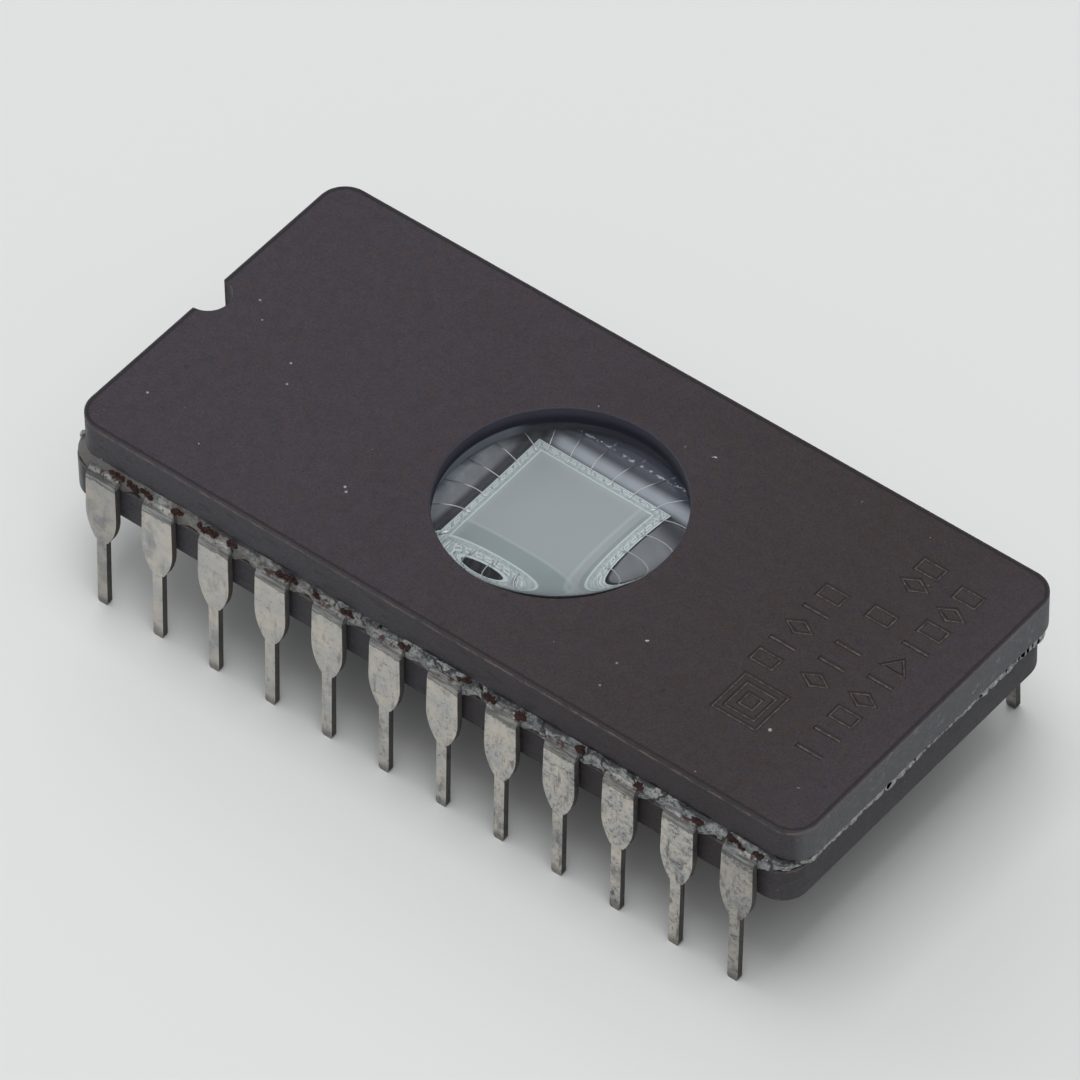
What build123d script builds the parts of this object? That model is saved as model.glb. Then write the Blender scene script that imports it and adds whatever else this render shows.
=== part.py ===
from build123d import *
import os
from math import cos, radians, tan

# Ceramic dual-in-line memory chip with a round glass window over the die, in millimetres.
# Z points up and Z = 0 is the plane of the lead tips. X runs along the body, away from the index notch.
# X = Y = 0 is the middle of the lead pattern.

# Lead pattern
LEAD_PITCH = 2.54
LEADS_PER_ROW = 12
LEG_STAND_OUT = 0.67  # outer face of a leg at its tip, out from the body's wall
LEAD_SPLAY = 2.4  # degrees that a leg leans outwards going down
LEAD_THICKNESS = 0.25
BEND_RADIUS = 0.33  # at the middle of the sheet

# Front view of a lead below its bend
LEG_WIDTH = 0.44
LEG_LENGTH = 3.1
LEG_TIP_CHAMFER = 0.06
NECK_WIDTH = 0.56
SHOULDER_WIDTH = 1.38
SHOULDER_START = 4.4  # height where the shoulder reaches its full width
BEND_WIDTH = 1.32

# Flat fingers that run from the wall to the die cavity
FINGER_MIDDLE_WIDTH = 0.9
FINGER_TIP_WIDTH = 0.52
FINGER_TIP_PITCH = 1.16
FINGER_TIP_STRAIGHT = 0.65
FINGERS_PER_SIDE = 6
SIDE_FINGER_STRAIGHT = 0.5  # run inside the wall before a finger of the middle leads turns
END_FINGER_STRAIGHT = 1.1  # the same for the first of the outer leads
END_FINGER_STEP = 0.3  # extra for each lead further out
BOND_AREA = 0.85  # length of each finger tip that the sealing glass leaves bare

# Ceramic body
BODY_LENGTH = 31.75
BODY_WIDTH = 14.6
BODY_CORNER_RADIUS = 1.05
STAND_OFF = 4.1  # underside of the base above the lead tips
BASE_THICKNESS = 1.7
BASE_X = -0.07  # middle of the base from the middle of the lead pattern
BASE_LOWER_CHAMFER = 0.15
BASE_UPPER_CHAMFER = 0.1
CAP_THICKNESS = 1.5
CAP_SHIFT = 0.44  # how far the cap sits off the base along the body
CAP_UPPER_CHAMFER = 0.16
CAP_LOWER_CHAMFER = 0.08
CAP_RECESS_DEPTH = 0.12
CAP_RECESS_MARGIN = 0.25  # past the bare finger tips, on each side
CAP_RECESS_CORNER = 1.2

# Index notch in the end of the cap
NOTCH_RADIUS = 0.85
NOTCH_Y = 0.08
NOTCH_LIP_RADIUS = 0.22

# Sealing glass
GLASS_UNDER_LEADS = 0.25
GLASS_OVER_LEADS = 0.25
GLASS_INSET = 0.1  # at its joins with base and cap
GLASS_BULGE = 0.05  # how far its bead stands out of the body's wall
GLASS_CHIPS_X = (-1.98, 2.4)  # pieces broken out of the bead along the near row
GLASS_CHIP_LENGTH = 0.75
GLASS_CHIP_DEPTH = 0.6
GLASS_CHIP_HEIGHT = 0.45
GLASS_CHIP_TILT = 25.0  # degrees

# Window
WINDOW_RADIUS = 4.46
WINDOW_Y = -0.13
WINDOW_SINK = 0.9  # flat top of the glass below the cap's top
WINDOW_CLIMB = 0.16  # how far the glass climbs the wall
WINDOW_CLIMB_WIDTH = 0.6
HOLE_EDGE_CHAMFER = 0.08

# Die and its cavity
DIE_LENGTH = 5.44
DIE_WIDTH = 5.3
DIE_THICKNESS = 0.48
DIE_X = -0.16
DIE_Y = 0.15
ATTACH_THICKNESS = 0.04
ATTACH_MARGIN = 0.08
CAVITY_LENGTH = 6.8
CAVITY_WIDTH = 6.6
CAVITY_DEPTH = 0.15
CAVITY_CORNER = 0.5
CAVITY_DRAFT = 12.0  # degrees
CAVITY_TO_FINGER = 0.45  # from the cavity's edge to the finger tips
CAVITY_TO_GLASS = 0.12  # from the cavity's edge to the sealing glass

# Bond wires
WIRE_RADIUS = 0.022
WIRE_FOOT = 0.12
WIRE_LOOP_HEIGHT = 0.17  # of the loop's middle above a straight line between its feet
WIRE_SIDES = 8
WIRE_LOOP_RUNS = 6
PAD_INSET = 0.16  # bond on the die, from its edge
PAD_PITCH = 0.9
BOND_INSET = 0.32  # bond on the finger, from its tip

# Levels
BASE_TOP = STAND_OFF + BASE_THICKNESS
FRAME_BOTTOM = BASE_TOP + GLASS_UNDER_LEADS
FRAME_TOP = FRAME_BOTTOM + LEAD_THICKNESS
CAP_BOTTOM = FRAME_TOP + GLASS_OVER_LEADS
CAP_TOP = CAP_BOTTOM + CAP_THICKNESS
RECESS_TOP = CAP_BOTTOM + CAP_RECESS_DEPTH
WINDOW_TOP = CAP_TOP - WINDOW_SINK
CAVITY_FLOOR = BASE_TOP - CAVITY_DEPTH
ATTACH_TOP = CAVITY_FLOOR + ATTACH_THICKNESS
DIE_TOP = ATTACH_TOP + DIE_THICKNESS

# Places that follow from the sizes
WALL_Y = BODY_WIDTH / 2
CAP_X = BASE_X + CAP_SHIFT
FINGER_TIP_X = CAVITY_LENGTH / 2 + CAVITY_TO_FINGER
FINGER_TIP_Y = CAVITY_WIDTH / 2 + CAVITY_TO_FINGER
BARE_LENGTH = 2 * (FINGER_TIP_X + BOND_AREA)
BARE_WIDTH = 2 * (FINGER_TIP_Y + BOND_AREA)


def plate(length, width, corner, low, high, x=0.0, y=0.0):
    """A plate with rounded corners between two levels."""
    return Pos(x, y, low) * extrude(RectangleRounded(length, width, corner), high - low)


def level_edges(solid, level):
    """The edges of a solid that lie at one level."""
    return solid.edges().filter_by_position(Axis.Z, level, level)


def lead_x(number):
    """Place of a lead along its row, counted from the notch."""
    return (number - (LEADS_PER_ROW + 1) / 2) * LEAD_PITCH


def base():
    body = plate(BODY_LENGTH, BODY_WIDTH, BODY_CORNER_RADIUS, STAND_OFF, BASE_TOP, BASE_X)
    body = chamfer(level_edges(body, STAND_OFF), BASE_LOWER_CHAMFER)
    body = chamfer(level_edges(body, BASE_TOP), BASE_UPPER_CHAMFER)
    mouth = RectangleRounded(CAVITY_LENGTH, CAVITY_WIDTH, CAVITY_CORNER)
    cavity = extrude(Pos(BASE_X, 0, BASE_TOP) * mouth, -CAVITY_DEPTH, taper=CAVITY_DRAFT)
    return body - cavity


def bead_outline(level, grow):
    """Outline of the sealing glass at a level, between the base's and the cap's."""
    share = (level - BASE_TOP) / (CAP_BOTTOM - BASE_TOP)
    outline = RectangleRounded(BODY_LENGTH + 2 * grow, BODY_WIDTH + 2 * grow, BODY_CORNER_RADIUS + grow)
    return Pos(BASE_X + share * CAP_SHIFT, 0, level) * outline


def seal_glass(leads):
    """One fused ring: it holds the leads, is bare over the finger tips and open over the cavity."""
    outlines = [
        bead_outline(BASE_TOP, -GLASS_INSET),
        bead_outline(FRAME_BOTTOM, GLASS_BULGE),
        bead_outline(FRAME_TOP, GLASS_BULGE),
        bead_outline(CAP_BOTTOM, -GLASS_INSET),
    ]
    ring = loft(Sketch() + outlines, ruled=True)
    opening_length = CAVITY_LENGTH + 2 * CAVITY_TO_GLASS
    opening_width = CAVITY_WIDTH + 2 * CAVITY_TO_GLASS
    ring -= plate(opening_length, opening_width, CAVITY_CORNER, BASE_TOP, FRAME_BOTTOM, BASE_X)
    ring -= plate(BARE_LENGTH, BARE_WIDTH, CAVITY_CORNER, FRAME_BOTTOM, CAP_BOTTOM, BASE_X)
    for x in GLASS_CHIPS_X:
        place = Pos(x, -WALL_Y, FRAME_TOP) * Rot(GLASS_CHIP_TILT, 0, GLASS_CHIP_TILT)
        ring -= place * Box(GLASS_CHIP_LENGTH, GLASS_CHIP_DEPTH, GLASS_CHIP_HEIGHT)
    for solid in leads:
        ring -= solid
    return ring


def cap():
    """The lid: notch in one end, hole for the window and a shallow recess over the wires."""
    end_x = -BODY_LENGTH / 2
    plan = RectangleRounded(BODY_LENGTH, BODY_WIDTH, BODY_CORNER_RADIUS)
    plan -= Pos(end_x, NOTCH_Y) * Circle(NOTCH_RADIUS)
    lips = [
        vertex
        for vertex in plan.vertices()
        if abs(vertex.X - end_x) < NOTCH_LIP_RADIUS and abs(vertex.Y) < 2 * NOTCH_RADIUS
    ]
    plan = fillet(lips, NOTCH_LIP_RADIUS)
    body = Pos(CAP_X, 0, CAP_BOTTOM) * extrude(plan, CAP_THICKNESS)
    body = chamfer(level_edges(body, CAP_TOP), CAP_UPPER_CHAMFER)
    body = chamfer(level_edges(body, CAP_BOTTOM), CAP_LOWER_CHAMFER)
    body -= plate(
        BARE_LENGTH + 2 * CAP_RECESS_MARGIN,
        BARE_WIDTH + 2 * CAP_RECESS_MARGIN,
        CAP_RECESS_CORNER,
        CAP_BOTTOM,
        RECESS_TOP,
        BASE_X,
    )
    body -= Pos(CAP_X, WINDOW_Y, CAP_BOTTOM) * extrude(Circle(WINDOW_RADIUS), CAP_THICKNESS)
    rim = level_edges(body, CAP_TOP).filter_by(GeomType.CIRCLE).sort_by(SortBy.LENGTH)[-1]
    return chamfer(rim, HOLE_EDGE_CHAMFER)


def window():
    """Glass fused into the hole: flat in the middle, climbing the wall in a hollow curve."""
    flat_radius = WINDOW_RADIUS - WINDOW_CLIMB_WIDTH
    wall_top = (WINDOW_RADIUS, WINDOW_TOP + WINDOW_CLIMB)
    profile = [
        Line((0, RECESS_TOP), (WINDOW_RADIUS, RECESS_TOP)),
        Line((WINDOW_RADIUS, RECESS_TOP), wall_top),
        TangentArc((flat_radius, WINDOW_TOP), wall_top, tangent=(1, 0)),
        Line((flat_radius, WINDOW_TOP), (0, WINDOW_TOP)),
        Line((0, WINDOW_TOP), (0, RECESS_TOP)),
    ]
    half = Plane.XZ * make_face(Curve() + profile)
    return Pos(CAP_X, WINDOW_Y, 0) * revolve(half, Axis.Z)


def die():
    """The chip itself, with sawn sharp edges."""
    return Pos(DIE_X, DIE_Y, ATTACH_TOP + DIE_THICKNESS / 2) * Box(DIE_LENGTH, DIE_WIDTH, DIE_THICKNESS)


def die_attach():
    length = DIE_LENGTH + 2 * ATTACH_MARGIN
    width = DIE_WIDTH + 2 * ATTACH_MARGIN
    return plate(length, width, ATTACH_MARGIN, CAVITY_FLOOR, ATTACH_TOP, DIE_X, DIE_Y)


def leg_and_bend():
    """What a far lead has outside the wall, towards +Y: a bent strip cut to its front outline."""
    slope = tan(radians(LEAD_SPLAY))
    middle_z = (FRAME_BOTTOM + FRAME_TOP) / 2
    half_across = LEAD_THICKNESS / 2 / cos(radians(LEAD_SPLAY))
    tip_y = WALL_Y + LEG_STAND_OUT - half_across
    below = LEAD_THICKNESS
    side_line = FilletPolyline(
        (tip_y + below * slope, -below),
        (tip_y - middle_z * slope, middle_z),
        (WALL_Y - BEND_RADIUS, middle_z),
        radius=BEND_RADIUS,
    )
    side_view = Plane.YZ * trace(side_line, LEAD_THICKNESS)
    strip = extrude(side_view, SHOULDER_WIDTH, both=True)
    leg = LEG_WIDTH / 2
    shoulder = SHOULDER_WIDTH / 2
    neck = (NECK_WIDTH / 2, LEG_LENGTH)
    outline = [
        Line((0, 0), (leg - LEG_TIP_CHAMFER, 0)),
        Line((leg - LEG_TIP_CHAMFER, 0), (leg, 2 * LEG_TIP_CHAMFER)),
        Line((leg, 2 * LEG_TIP_CHAMFER), (leg, LEG_LENGTH)),
        Line((leg, LEG_LENGTH), neck),
        TangentArc((shoulder, SHOULDER_START), neck, tangent=(0, -1)),
        Line((shoulder, SHOULDER_START), (BEND_WIDTH / 2, FRAME_BOTTOM)),
        Line((BEND_WIDTH / 2, FRAME_BOTTOM), (BEND_WIDTH / 2, CAP_BOTTOM)),
        Line((BEND_WIDTH / 2, CAP_BOTTOM), (0, CAP_BOTTOM)),
        Line((0, CAP_BOTTOM), (0, 0)),
    ]
    half = make_face(Curve() + outline)
    front = half + mirror(half, Plane.YZ)
    return strip & extrude(Plane.XZ * front, -2 * WALL_Y)


def finger_route(x, row):
    """Middle line of a finger from the wall to its tip, as places with the width there.

    The far row is 1 and the near row is -1.
    """
    lane = round(abs(x) / LEAD_PITCH - 0.5)
    side = 1 if x > 0 else -1
    side_lanes = FINGERS_PER_SIDE // 2
    if lane < side_lanes:
        tip_x = BASE_X + x * FINGER_TIP_PITCH / LEAD_PITCH
        return [
            (x, row * WALL_Y, BEND_WIDTH),
            (x, row * (WALL_Y - SIDE_FINGER_STRAIGHT), BEND_WIDTH),
            (tip_x, row * (FINGER_TIP_Y + FINGER_TIP_STRAIGHT), FINGER_TIP_WIDTH),
            (tip_x, row * FINGER_TIP_Y, FINGER_TIP_WIDTH),
        ]
    outer = lane - side_lanes
    tip_y = (side_lanes - outer - 0.5) * FINGER_TIP_PITCH
    turn_y = WALL_Y - END_FINGER_STRAIGHT - outer * END_FINGER_STEP
    turn_x = x - side * (turn_y - tip_y)
    end_x = BASE_X + side * FINGER_TIP_X
    return [
        (x, row * WALL_Y, BEND_WIDTH),
        (x, row * turn_y, FINGER_MIDDLE_WIDTH),
        (turn_x, row * tip_y, FINGER_TIP_WIDTH),
        (end_x, row * tip_y, FINGER_TIP_WIDTH),
    ]


def edge_offsets(route):
    """Points on one side of a route, half a width off its middle line, with mitred corners."""
    points = []
    for index, (x, y, width) in enumerate(route):
        steps = []
        for first, second in ((index - 1, index), (index, index + 1)):
            if first >= 0 and second < len(route):
                step = Vector(route[second][0] - route[first][0], route[second][1] - route[first][1])
                steps.append(step.normalized())
        along = sum(steps, Vector(0, 0)).normalized()
        mitre = along.dot(steps[0])
        points.append(Vector(x, y) + Vector(-along.Y, along.X) * (width / 2 / mitre))
    return points


def row_offsets(route, side):
    """Points half a width off a route along the row, so that neighbours stay apart on any slant."""
    return [Vector(x + side * width / 2, y) for x, y, width in route]


def finger(x, row):
    """The flat part of a lead, embedded in the sealing glass up to its bare tip."""
    route = finger_route(x, row)
    if abs(x) < FINGERS_PER_SIDE / 2 * LEAD_PITCH:
        left = row_offsets(route, -1)
        right = row_offsets(route[::-1], 1)
    else:
        left = edge_offsets(route)
        right = edge_offsets(route[::-1])
    shape = make_face(Polyline(*left, *right, close=True))
    return Pos(0, 0, FRAME_BOTTOM) * extrude(shape, LEAD_THICKNESS, dir=(0, 0, 1))


def lead(x, row, leg):
    """One lead in one piece: its leg and bend outside the wall and its finger inside."""
    turn = 0 if row > 0 else 180
    return Pos(x, 0, 0) * Rot(0, 0, turn) * leg + finger(x, row)


def bond_wire(x, row):
    """A wire from its pad on the die to the finger of the lead at x, flat along both at its ends."""
    route = finger_route(x, row)
    tip = Vector(*route[-1][:2])
    inwards = (tip - Vector(*route[-2][:2])).normalized()
    bond = tip - inwards * BOND_INSET
    share = PAD_PITCH / FINGER_TIP_PITCH
    if abs(inwards.X) > abs(inwards.Y):
        pad = Vector(DIE_X - inwards.X * (DIE_LENGTH / 2 - PAD_INSET), DIE_Y + share * bond.Y)
    else:
        pad = Vector(DIE_X + share * (bond.X - BASE_X), DIE_Y - inwards.Y * (DIE_WIDTH / 2 - PAD_INSET))
    length = (bond - pad).length
    along = (bond - pad).normalized()
    rise = FRAME_TOP - DIE_TOP
    points = [(-WIRE_FOOT, 0)]
    for step in range(WIRE_LOOP_RUNS + 1):
        share = step / WIRE_LOOP_RUNS
        points.append((length * share, rise * share + 4 * WIRE_LOOP_HEIGHT * share * (1 - share)))
    points.append((length + WIRE_FOOT, rise))
    start = Vector(pad.X, pad.Y, DIE_TOP + WIRE_RADIUS)
    path = Plane(origin=start, x_dir=along, z_dir=along.cross(Vector(0, 0, 1))) * Polyline(*points)
    flat_side = 180 / WIRE_SIDES
    place = Plane(origin=path @ 0, x_dir=(0, 0, 1), z_dir=along) * Rot(0, 0, flat_side)
    section = place * RegularPolygon(WIRE_RADIUS, WIRE_SIDES, major_radius=False)
    return sweep(section, path, transition=Transition.RIGHT)


def leads_and_wires():
    """Leads and wires by number: 1 to 12 along the near row, 13 to 24 back along the far row."""
    leg = leg_and_bend()
    leads = {}
    wires = {}
    for number in range(1, LEADS_PER_ROW + 1):
        far_number = 2 * LEADS_PER_ROW + 1 - number
        x = lead_x(number)
        leads[number] = lead(x, -1, leg)
        wires[number] = bond_wire(x, -1)
        leads[far_number] = lead(x, 1, leg)
        wires[far_number] = bond_wire(x, 1)
    return leads, wires


def main():
    leads, wires = leads_and_wires()
    parts = {
        "base": base(),
        "seal_glass": seal_glass(leads.values()),
        "cap": cap(),
        "window": window(),
        "die": die(),
        "die_attach": die_attach(),
    }
    for number in sorted(leads):
        parts[f"lead_{number:02d}"] = leads[number]
        parts[f"bond_wire_{number:02d}"] = wires[number]
    os.makedirs("parts", exist_ok=True)
    for name, shape in parts.items():
        solids = shape.solids()
        export_step(solids[0] if len(solids) == 1 else Compound(solids), f"parts/{name}.step")


main()
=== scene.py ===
import math
import random

import bmesh
import bpy
from bpy.props import FloatProperty, FloatVectorProperty, PointerProperty
from mathutils import Matrix, Vector, noise


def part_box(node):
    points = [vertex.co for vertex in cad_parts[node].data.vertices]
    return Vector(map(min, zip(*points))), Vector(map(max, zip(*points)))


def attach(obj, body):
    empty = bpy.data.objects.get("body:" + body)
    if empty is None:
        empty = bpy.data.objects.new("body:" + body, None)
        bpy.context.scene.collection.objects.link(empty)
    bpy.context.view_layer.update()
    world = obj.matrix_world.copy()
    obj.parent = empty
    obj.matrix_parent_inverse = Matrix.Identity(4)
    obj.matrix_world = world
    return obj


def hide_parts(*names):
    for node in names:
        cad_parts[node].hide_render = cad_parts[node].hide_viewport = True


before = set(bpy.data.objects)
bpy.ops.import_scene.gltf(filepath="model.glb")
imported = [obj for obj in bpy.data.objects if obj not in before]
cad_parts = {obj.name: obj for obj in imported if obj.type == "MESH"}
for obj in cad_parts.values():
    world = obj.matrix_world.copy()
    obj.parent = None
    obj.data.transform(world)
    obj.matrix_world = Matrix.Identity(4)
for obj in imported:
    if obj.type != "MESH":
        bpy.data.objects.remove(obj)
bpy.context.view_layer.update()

bl_info = {
    "name": "Windowed Memory Chip",
    "version": (1, 0, 0),
    "blender": (4, 5, 0),
    "location": "3D View > Sidebar > Chip",
    "description": "Dresses a ceramic chip with a glass window, worn leads and a crusty glass seal",
    "category": "Object",
}

MM = 0.001

# Camera of the photograph, fitted to the lead tips and the cap's outline: radians and millimetres
CAMERA_AZIMUTH = 0.689
CAMERA_ELEVATION = 0.8234
CAMERA_ROLL = -0.01806
CAMERA_DISTANCE = 356.06
CAMERA_SIDE = -0.586
CAMERA_UP = 3.918
CAMERA_LENS = 340.84
SENSOR_WIDTH = 36.0
CAMERA_NEAR = 0.01
CAMERA_FAR = 20.0

# Light: places of the lamps in metres, and the tones of the sky at the horizon and overhead
LAMP_PLACES = {
    "key_lamp": (0.0, 0.0, 0.9),
    "front_lamp": (0.269, -0.269, 0.816),
    "back_lamp": (-0.488, 0.488, 0.579),
    "left_lamp": (-0.816, 0.0, 0.38),
}
SKY_LOW = (0.42, 0.43, 0.44)
SKY_HIGH = (1.0, 1.0, 1.0)
SKY_FULL_HEIGHT = 0.75
UNEVEN_FLOOR = 0.985

# Lead frame, in millimetres
LEAD_PITCH = 2.54
LEADS_PER_ROW = 12
LEAD_HALF_WIDTH = 0.66

# Tolerances for picking edges, in millimetres
TOUCHING = 0.001
CLOSE = 0.01
NEAR_LIP = 0.02

# Larger specks of dust on the cap: x, y and radius, in millimetres
DUST_SPOTS = (
    (6.52, -4.76, 0.05),
    (6.69, -5.9, 0.04),
    (-5.87, -4.14, 0.06),
    (-5.7, -4.3, 0.05),
    (-13.21, 0.23, 0.04),
    (-13.89, 0.93, 0.05),
    (-11.09, -0.75, 0.05),
    (-10.56, -1.61, 0.05),
    (12.44, -3.97, 0.07),
    (-14.1, -4.9, 0.05),
)

# Shapes, in millimetres

# Ceramic
CAP_CORNER_FACES = 10
NOTCH_SIDES = 48
HOLE_SIDES = 128
RECESS_CORNER = 1.2
BASE_EDGE = 0.07
BASE_EDGE_FACES = 3
BASE_EDGE_DEGREES = 30.0

# Rim of the sealing glass: how deep it is loose, how calm the notch's end is, how it hangs at the leads
BEAD_OVERLAP = 0.1
LOOSE_DEPTH = 0.55
LOOSE_FADE = 0.45
CALM_END_X = -14.0
CALM_RUN = 8.0
CALMEST = 0.15
LUMPS_PER_MM = 0.9
GRAINS_PER_MM = 4.5
MEAN_LUMP = 0.25
SWELL_AT_LEAD = 0.07
SWELL_WHERE_ROUGH = 0.06
BESIDE_LEAD_RUN = 0.6
HANG_AT_LEAD = 0.26
HANG_OF_LUMPS = 0.05
HANG_OF_GRAIN = 0.04
LEAST_HANG = -0.1
RISE_OF_TOP = 0.05
RISE_OF_LUMPS = 0.1
INSIDE_DEPTH = -0.1
BEAD_PLAY = 0.01

# Glass in the cavity and bond round the die, as thin sloping rings
RING_CORNER = 0.3
RING_CORNER_FACES = 8
RING_THICKNESS = 0.08
CAVITY_FLOOR_DROP = 0.14
TROUGH_FOOT = (3.06, 2.96)
TROUGH_TOP = (4.74, 4.64)
TROUGH_TOP_LEVEL = 6.335
TROUGH_RINGS = 36
STEEP_SHARE = 0.48
STEEP_RISE = 0.98
BOND_SPREAD = (0.4, 0.16)
BOND_PLAY = 0.004
BOND_DROP = 0.07
BOND_RINGS = 12
BOND_POWER = 1.5

# Window lens
LENS_SIDES = 200
LENS_RINGS = 40
LENS_RINGED_SHARE = 0.97

# Bond wires and their pressed feet
WIRE_SEED = 7
WIRE_INSET = 0.16
WIRE_SEARCH_STEP = 0.02
WIRE_START_RISE = 0.02
WIRE_END_BACK = 0.1
WIRE_END_LEVEL = 6.32
WIRE_ARCH = (0.3, 0.42)
WIRE_SWAY = 0.12
WIRE_REACH_SHARE = 0.4
WIRE_END_ARCH_SHARE = 0.9
WIRE_TAIL_SHARE = 0.2
FOOT_HALF_SIZE = (0.12, 0.055, 0.025)
FOOT_TURN = 0.2

# Rust at the leads
RUST_SEED = 23
RUST_BESIDE_LEAD = 0.72
RUST_BEFORE_LEAD = -0.66
LONG_PATCH = 0.35
RUST_MORE_FROM = 8
RUST_MORE = 1.3
RUST_SECOND_CHANCE = 0.4
RUST_LEVELS_OF_PATCH = (6.34, 6.46)
RUST_LOWEST = 6.27
RUST_HIGHEST = 6.52
RUST_SLOPE = 0.35
RUST_SCATTER = 0.035
RUST_OUT = (0.08, 0.22)
RUST_LEAST_COUNT = 7
RUST_PER_MM = 34
RUST_TURN = 0.7

# Pale crumbs along the two ends
CRUMB_SEED = 41
CRUMB_HALF_RUN = 6.6
CRUMB_SHARE = 0.88
CRUMB_WANDER = 0.12
CRUMB_OUT = 0.02
CRUMB_SIZES = (0.04, 0.09)
CRUMB_GROWTH = 0.22
CRUMB_SPACING = (1.3, 3.2)
CRUMB_PLAY = 0.005

# Where the finishes change, in millimetres. Each pair is where a change starts and where it ends.

# Ceramic: how far towards +X it turns warm and darker, the darkening a painted falloff of the light, and the
# tilt at which a face counts as a wall, whose tones are painted light
WARM_DRIFT = 14.0
WARM_RUN = (-6.0, 20.0)
WARM_FADE = (13.0, 16.0)
WALL_TILT = (0.75, 0.3)
RIGHT_END_TILT = (0.55, 0.9)
NOTCH_END_TILT = (-0.2, -0.65)

# Ceramic: wall of the window's hole, in painted shade that lightens towards the top as painted light, and
# the glass fused to it
HOLE_WALL_OUTER = 0.05
HOLE_WALL_INNER = 0.02
HOLE_WALL_PAINTED_LIGHT = (7.45, 7.9)
FUSED_X = (-2.2, -3.2)
FUSED_Y = (2.7, 1.9)
FUSED_Z = (7.42, 7.34)

# Ceramic: a worn line and a line of painted shade at the top edge, by depth in from the outline and by
# height against the top
EDGE_WEAR_AND_SHADE_REACH = (1.0, 0.5)
RUB_LINE = (-0.15, -0.08, -0.02, 0.01)
EDGE_SHADE_LINE = (0.1, 0.14, 0.2, 0.27)
EDGE_PAINTED_SHADE = (0.014, 0.012, 0.014)
PIT_PAINTED_SHADE = (0.015, 0.012, 0.012)
SPOT_FADE = 0.08
STROKE_SHADOW = (0.01, -0.012)
STROKE_BOTTOM = (-0.031, -0.037)

# Smooth glass round the cavity, seen through the window: where its painted light, painted highlights and
# painted shade lie
FAR_GLASS_OUT = (3.9, 3.3)
FAR_GLASS_IN = (0.0, 2.0)
LEFT_GLASS_X = (-3.3, -3.5)
LEFT_GLASS_Y = (2.7, 1.9)
SPECK_LINE = (3.92, 3.97, 4.02, 4.07)
TROUGH_OUTER = (3.3, 3.5)
FAR_SHEEN_X = (-3.0, -2.2)
FAR_SHEEN_Y = (3.0, 3.22, 3.28, 3.56)
LEFT_SHEEN_X = (-4.1, -3.6, -3.5, -3.3)
LEFT_SHEEN_Y = (2.6, 1.8)
RIGHT_SHEEN_X = (2.7, 3.3)

# Crusty rim of the sealing glass: grey at the notch's end, warm beside it, cracked farther on, with painted
# shade under the cap's edge
SEAL_INSIDE = (5.6, 5.3)
GREY_END = (-11.5, -13.5)
WARM_SEAL = (2.0, -9.0)
CRACKED_RUN = (-8.0, -2.0)
CAP_SHADE_RUN = (-12.0, -9.0)
CAP_SHADE_LEVELS = (0.05, 0.12)

# Die: fields, lines and painted light by distance from its edges
NEAR_FIELD = (1.02, 1.06)
RIGHT_FIELD = (0.5, 0.54)
NEAR_GUIDE_LINE = (0.96, 1.0, 1.06, 1.1)
RIGHT_GUIDE_LINE = (0.7, 0.77, 0.83, 0.9)
FAR_GLOW = (0.8, 0.4)
LEFT_GLOW = (0.7, 0.4)
BORDER_DEPTH = (0.36, 0.34)
INNER_LINE_DEPTH = (0.33, 0.345, 0.38, 0.395)
MIDDLE_LINE_DEPTH = (0.19, 0.2, 0.215, 0.225)
OUTER_LINE_DEPTH = (0.06, 0.045)
PAD_PITCH = 0.38

# Leads: stained more towards +X, darker at the tip, a painted reflection above the bend
STAINED_RUN = (-14.0, 12.0)
STREAK_LEVELS = (5.4, 4.6)
FIRST_LEAD = (-12.5, -13.0)
LAST_LEAD = (12.5, 13.0)
TIP_LEVELS = (0.5, 0.1)
CREASE_LEVELS = (5.94, 5.99, 6.02, 6.07)
BEND_LEVELS = (6.0, 6.07)
RUST_LEVELS = (6.05, 6.2)
LEAD_INSIDE = (6.9, 6.6)
FINGER_TIPS = (4.25, 4.1)

# Bond wires: painted shade from this far beside the die
WIRE_SHADE_FAR = (0.5, 0.75)
WIRE_SHADE_LEFT = (0.45, 0.7)


def node_box(name):
    """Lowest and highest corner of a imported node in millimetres."""
    low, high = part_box(name)
    return low / MM, high / MM


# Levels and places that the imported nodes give, in millimetres
BASE_LOW, BASE_HIGH = node_box("base")
CAP_LOW, CAP_HIGH = node_box("cap")
GLASS_LOW, GLASS_HIGH = node_box("seal_glass")
WINDOW_LOW, WINDOW_HIGH = node_box("window")
DIE_LOW, DIE_HIGH = node_box("die")
CAP_MIDDLE = (CAP_LOW + CAP_HIGH) / 2
BASE_MIDDLE = (BASE_LOW + BASE_HIGH) / 2
WINDOW_MIDDLE = (WINDOW_LOW + WINDOW_HIGH) / 2
DIE_MIDDLE = (DIE_LOW + DIE_HIGH) / 2
WALL_Y = BASE_HIGH.y
LEAD_NAMES = [f"lead_{number:02d}" for number in range(1, 2 * LEADS_PER_ROW + 1)]
WIRE_NAMES = [f"bond_wire_{number:02d}" for number in range(1, 2 * LEADS_PER_ROW + 1)]


def srgb(red, green, blue):
    """A colour written as on a screen, 0 to 255, as the renderer's own numbers."""
    shades = []
    for value in (red, green, blue):
        share = value / 255
        shades.append(share / 12.92 if share <= 0.04045 else ((share + 0.055) / 1.055) ** 2.4)
    return tuple(shades)


def colour_property(name, description, red, green, blue):
    """A colour setting, with its first value written as on a screen."""
    return FloatVectorProperty(
        name=name,
        description=description,
        subtype="COLOR",
        size=3,
        min=0.0,
        max=1.0,
        default=srgb(red, green, blue),
    )


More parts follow.
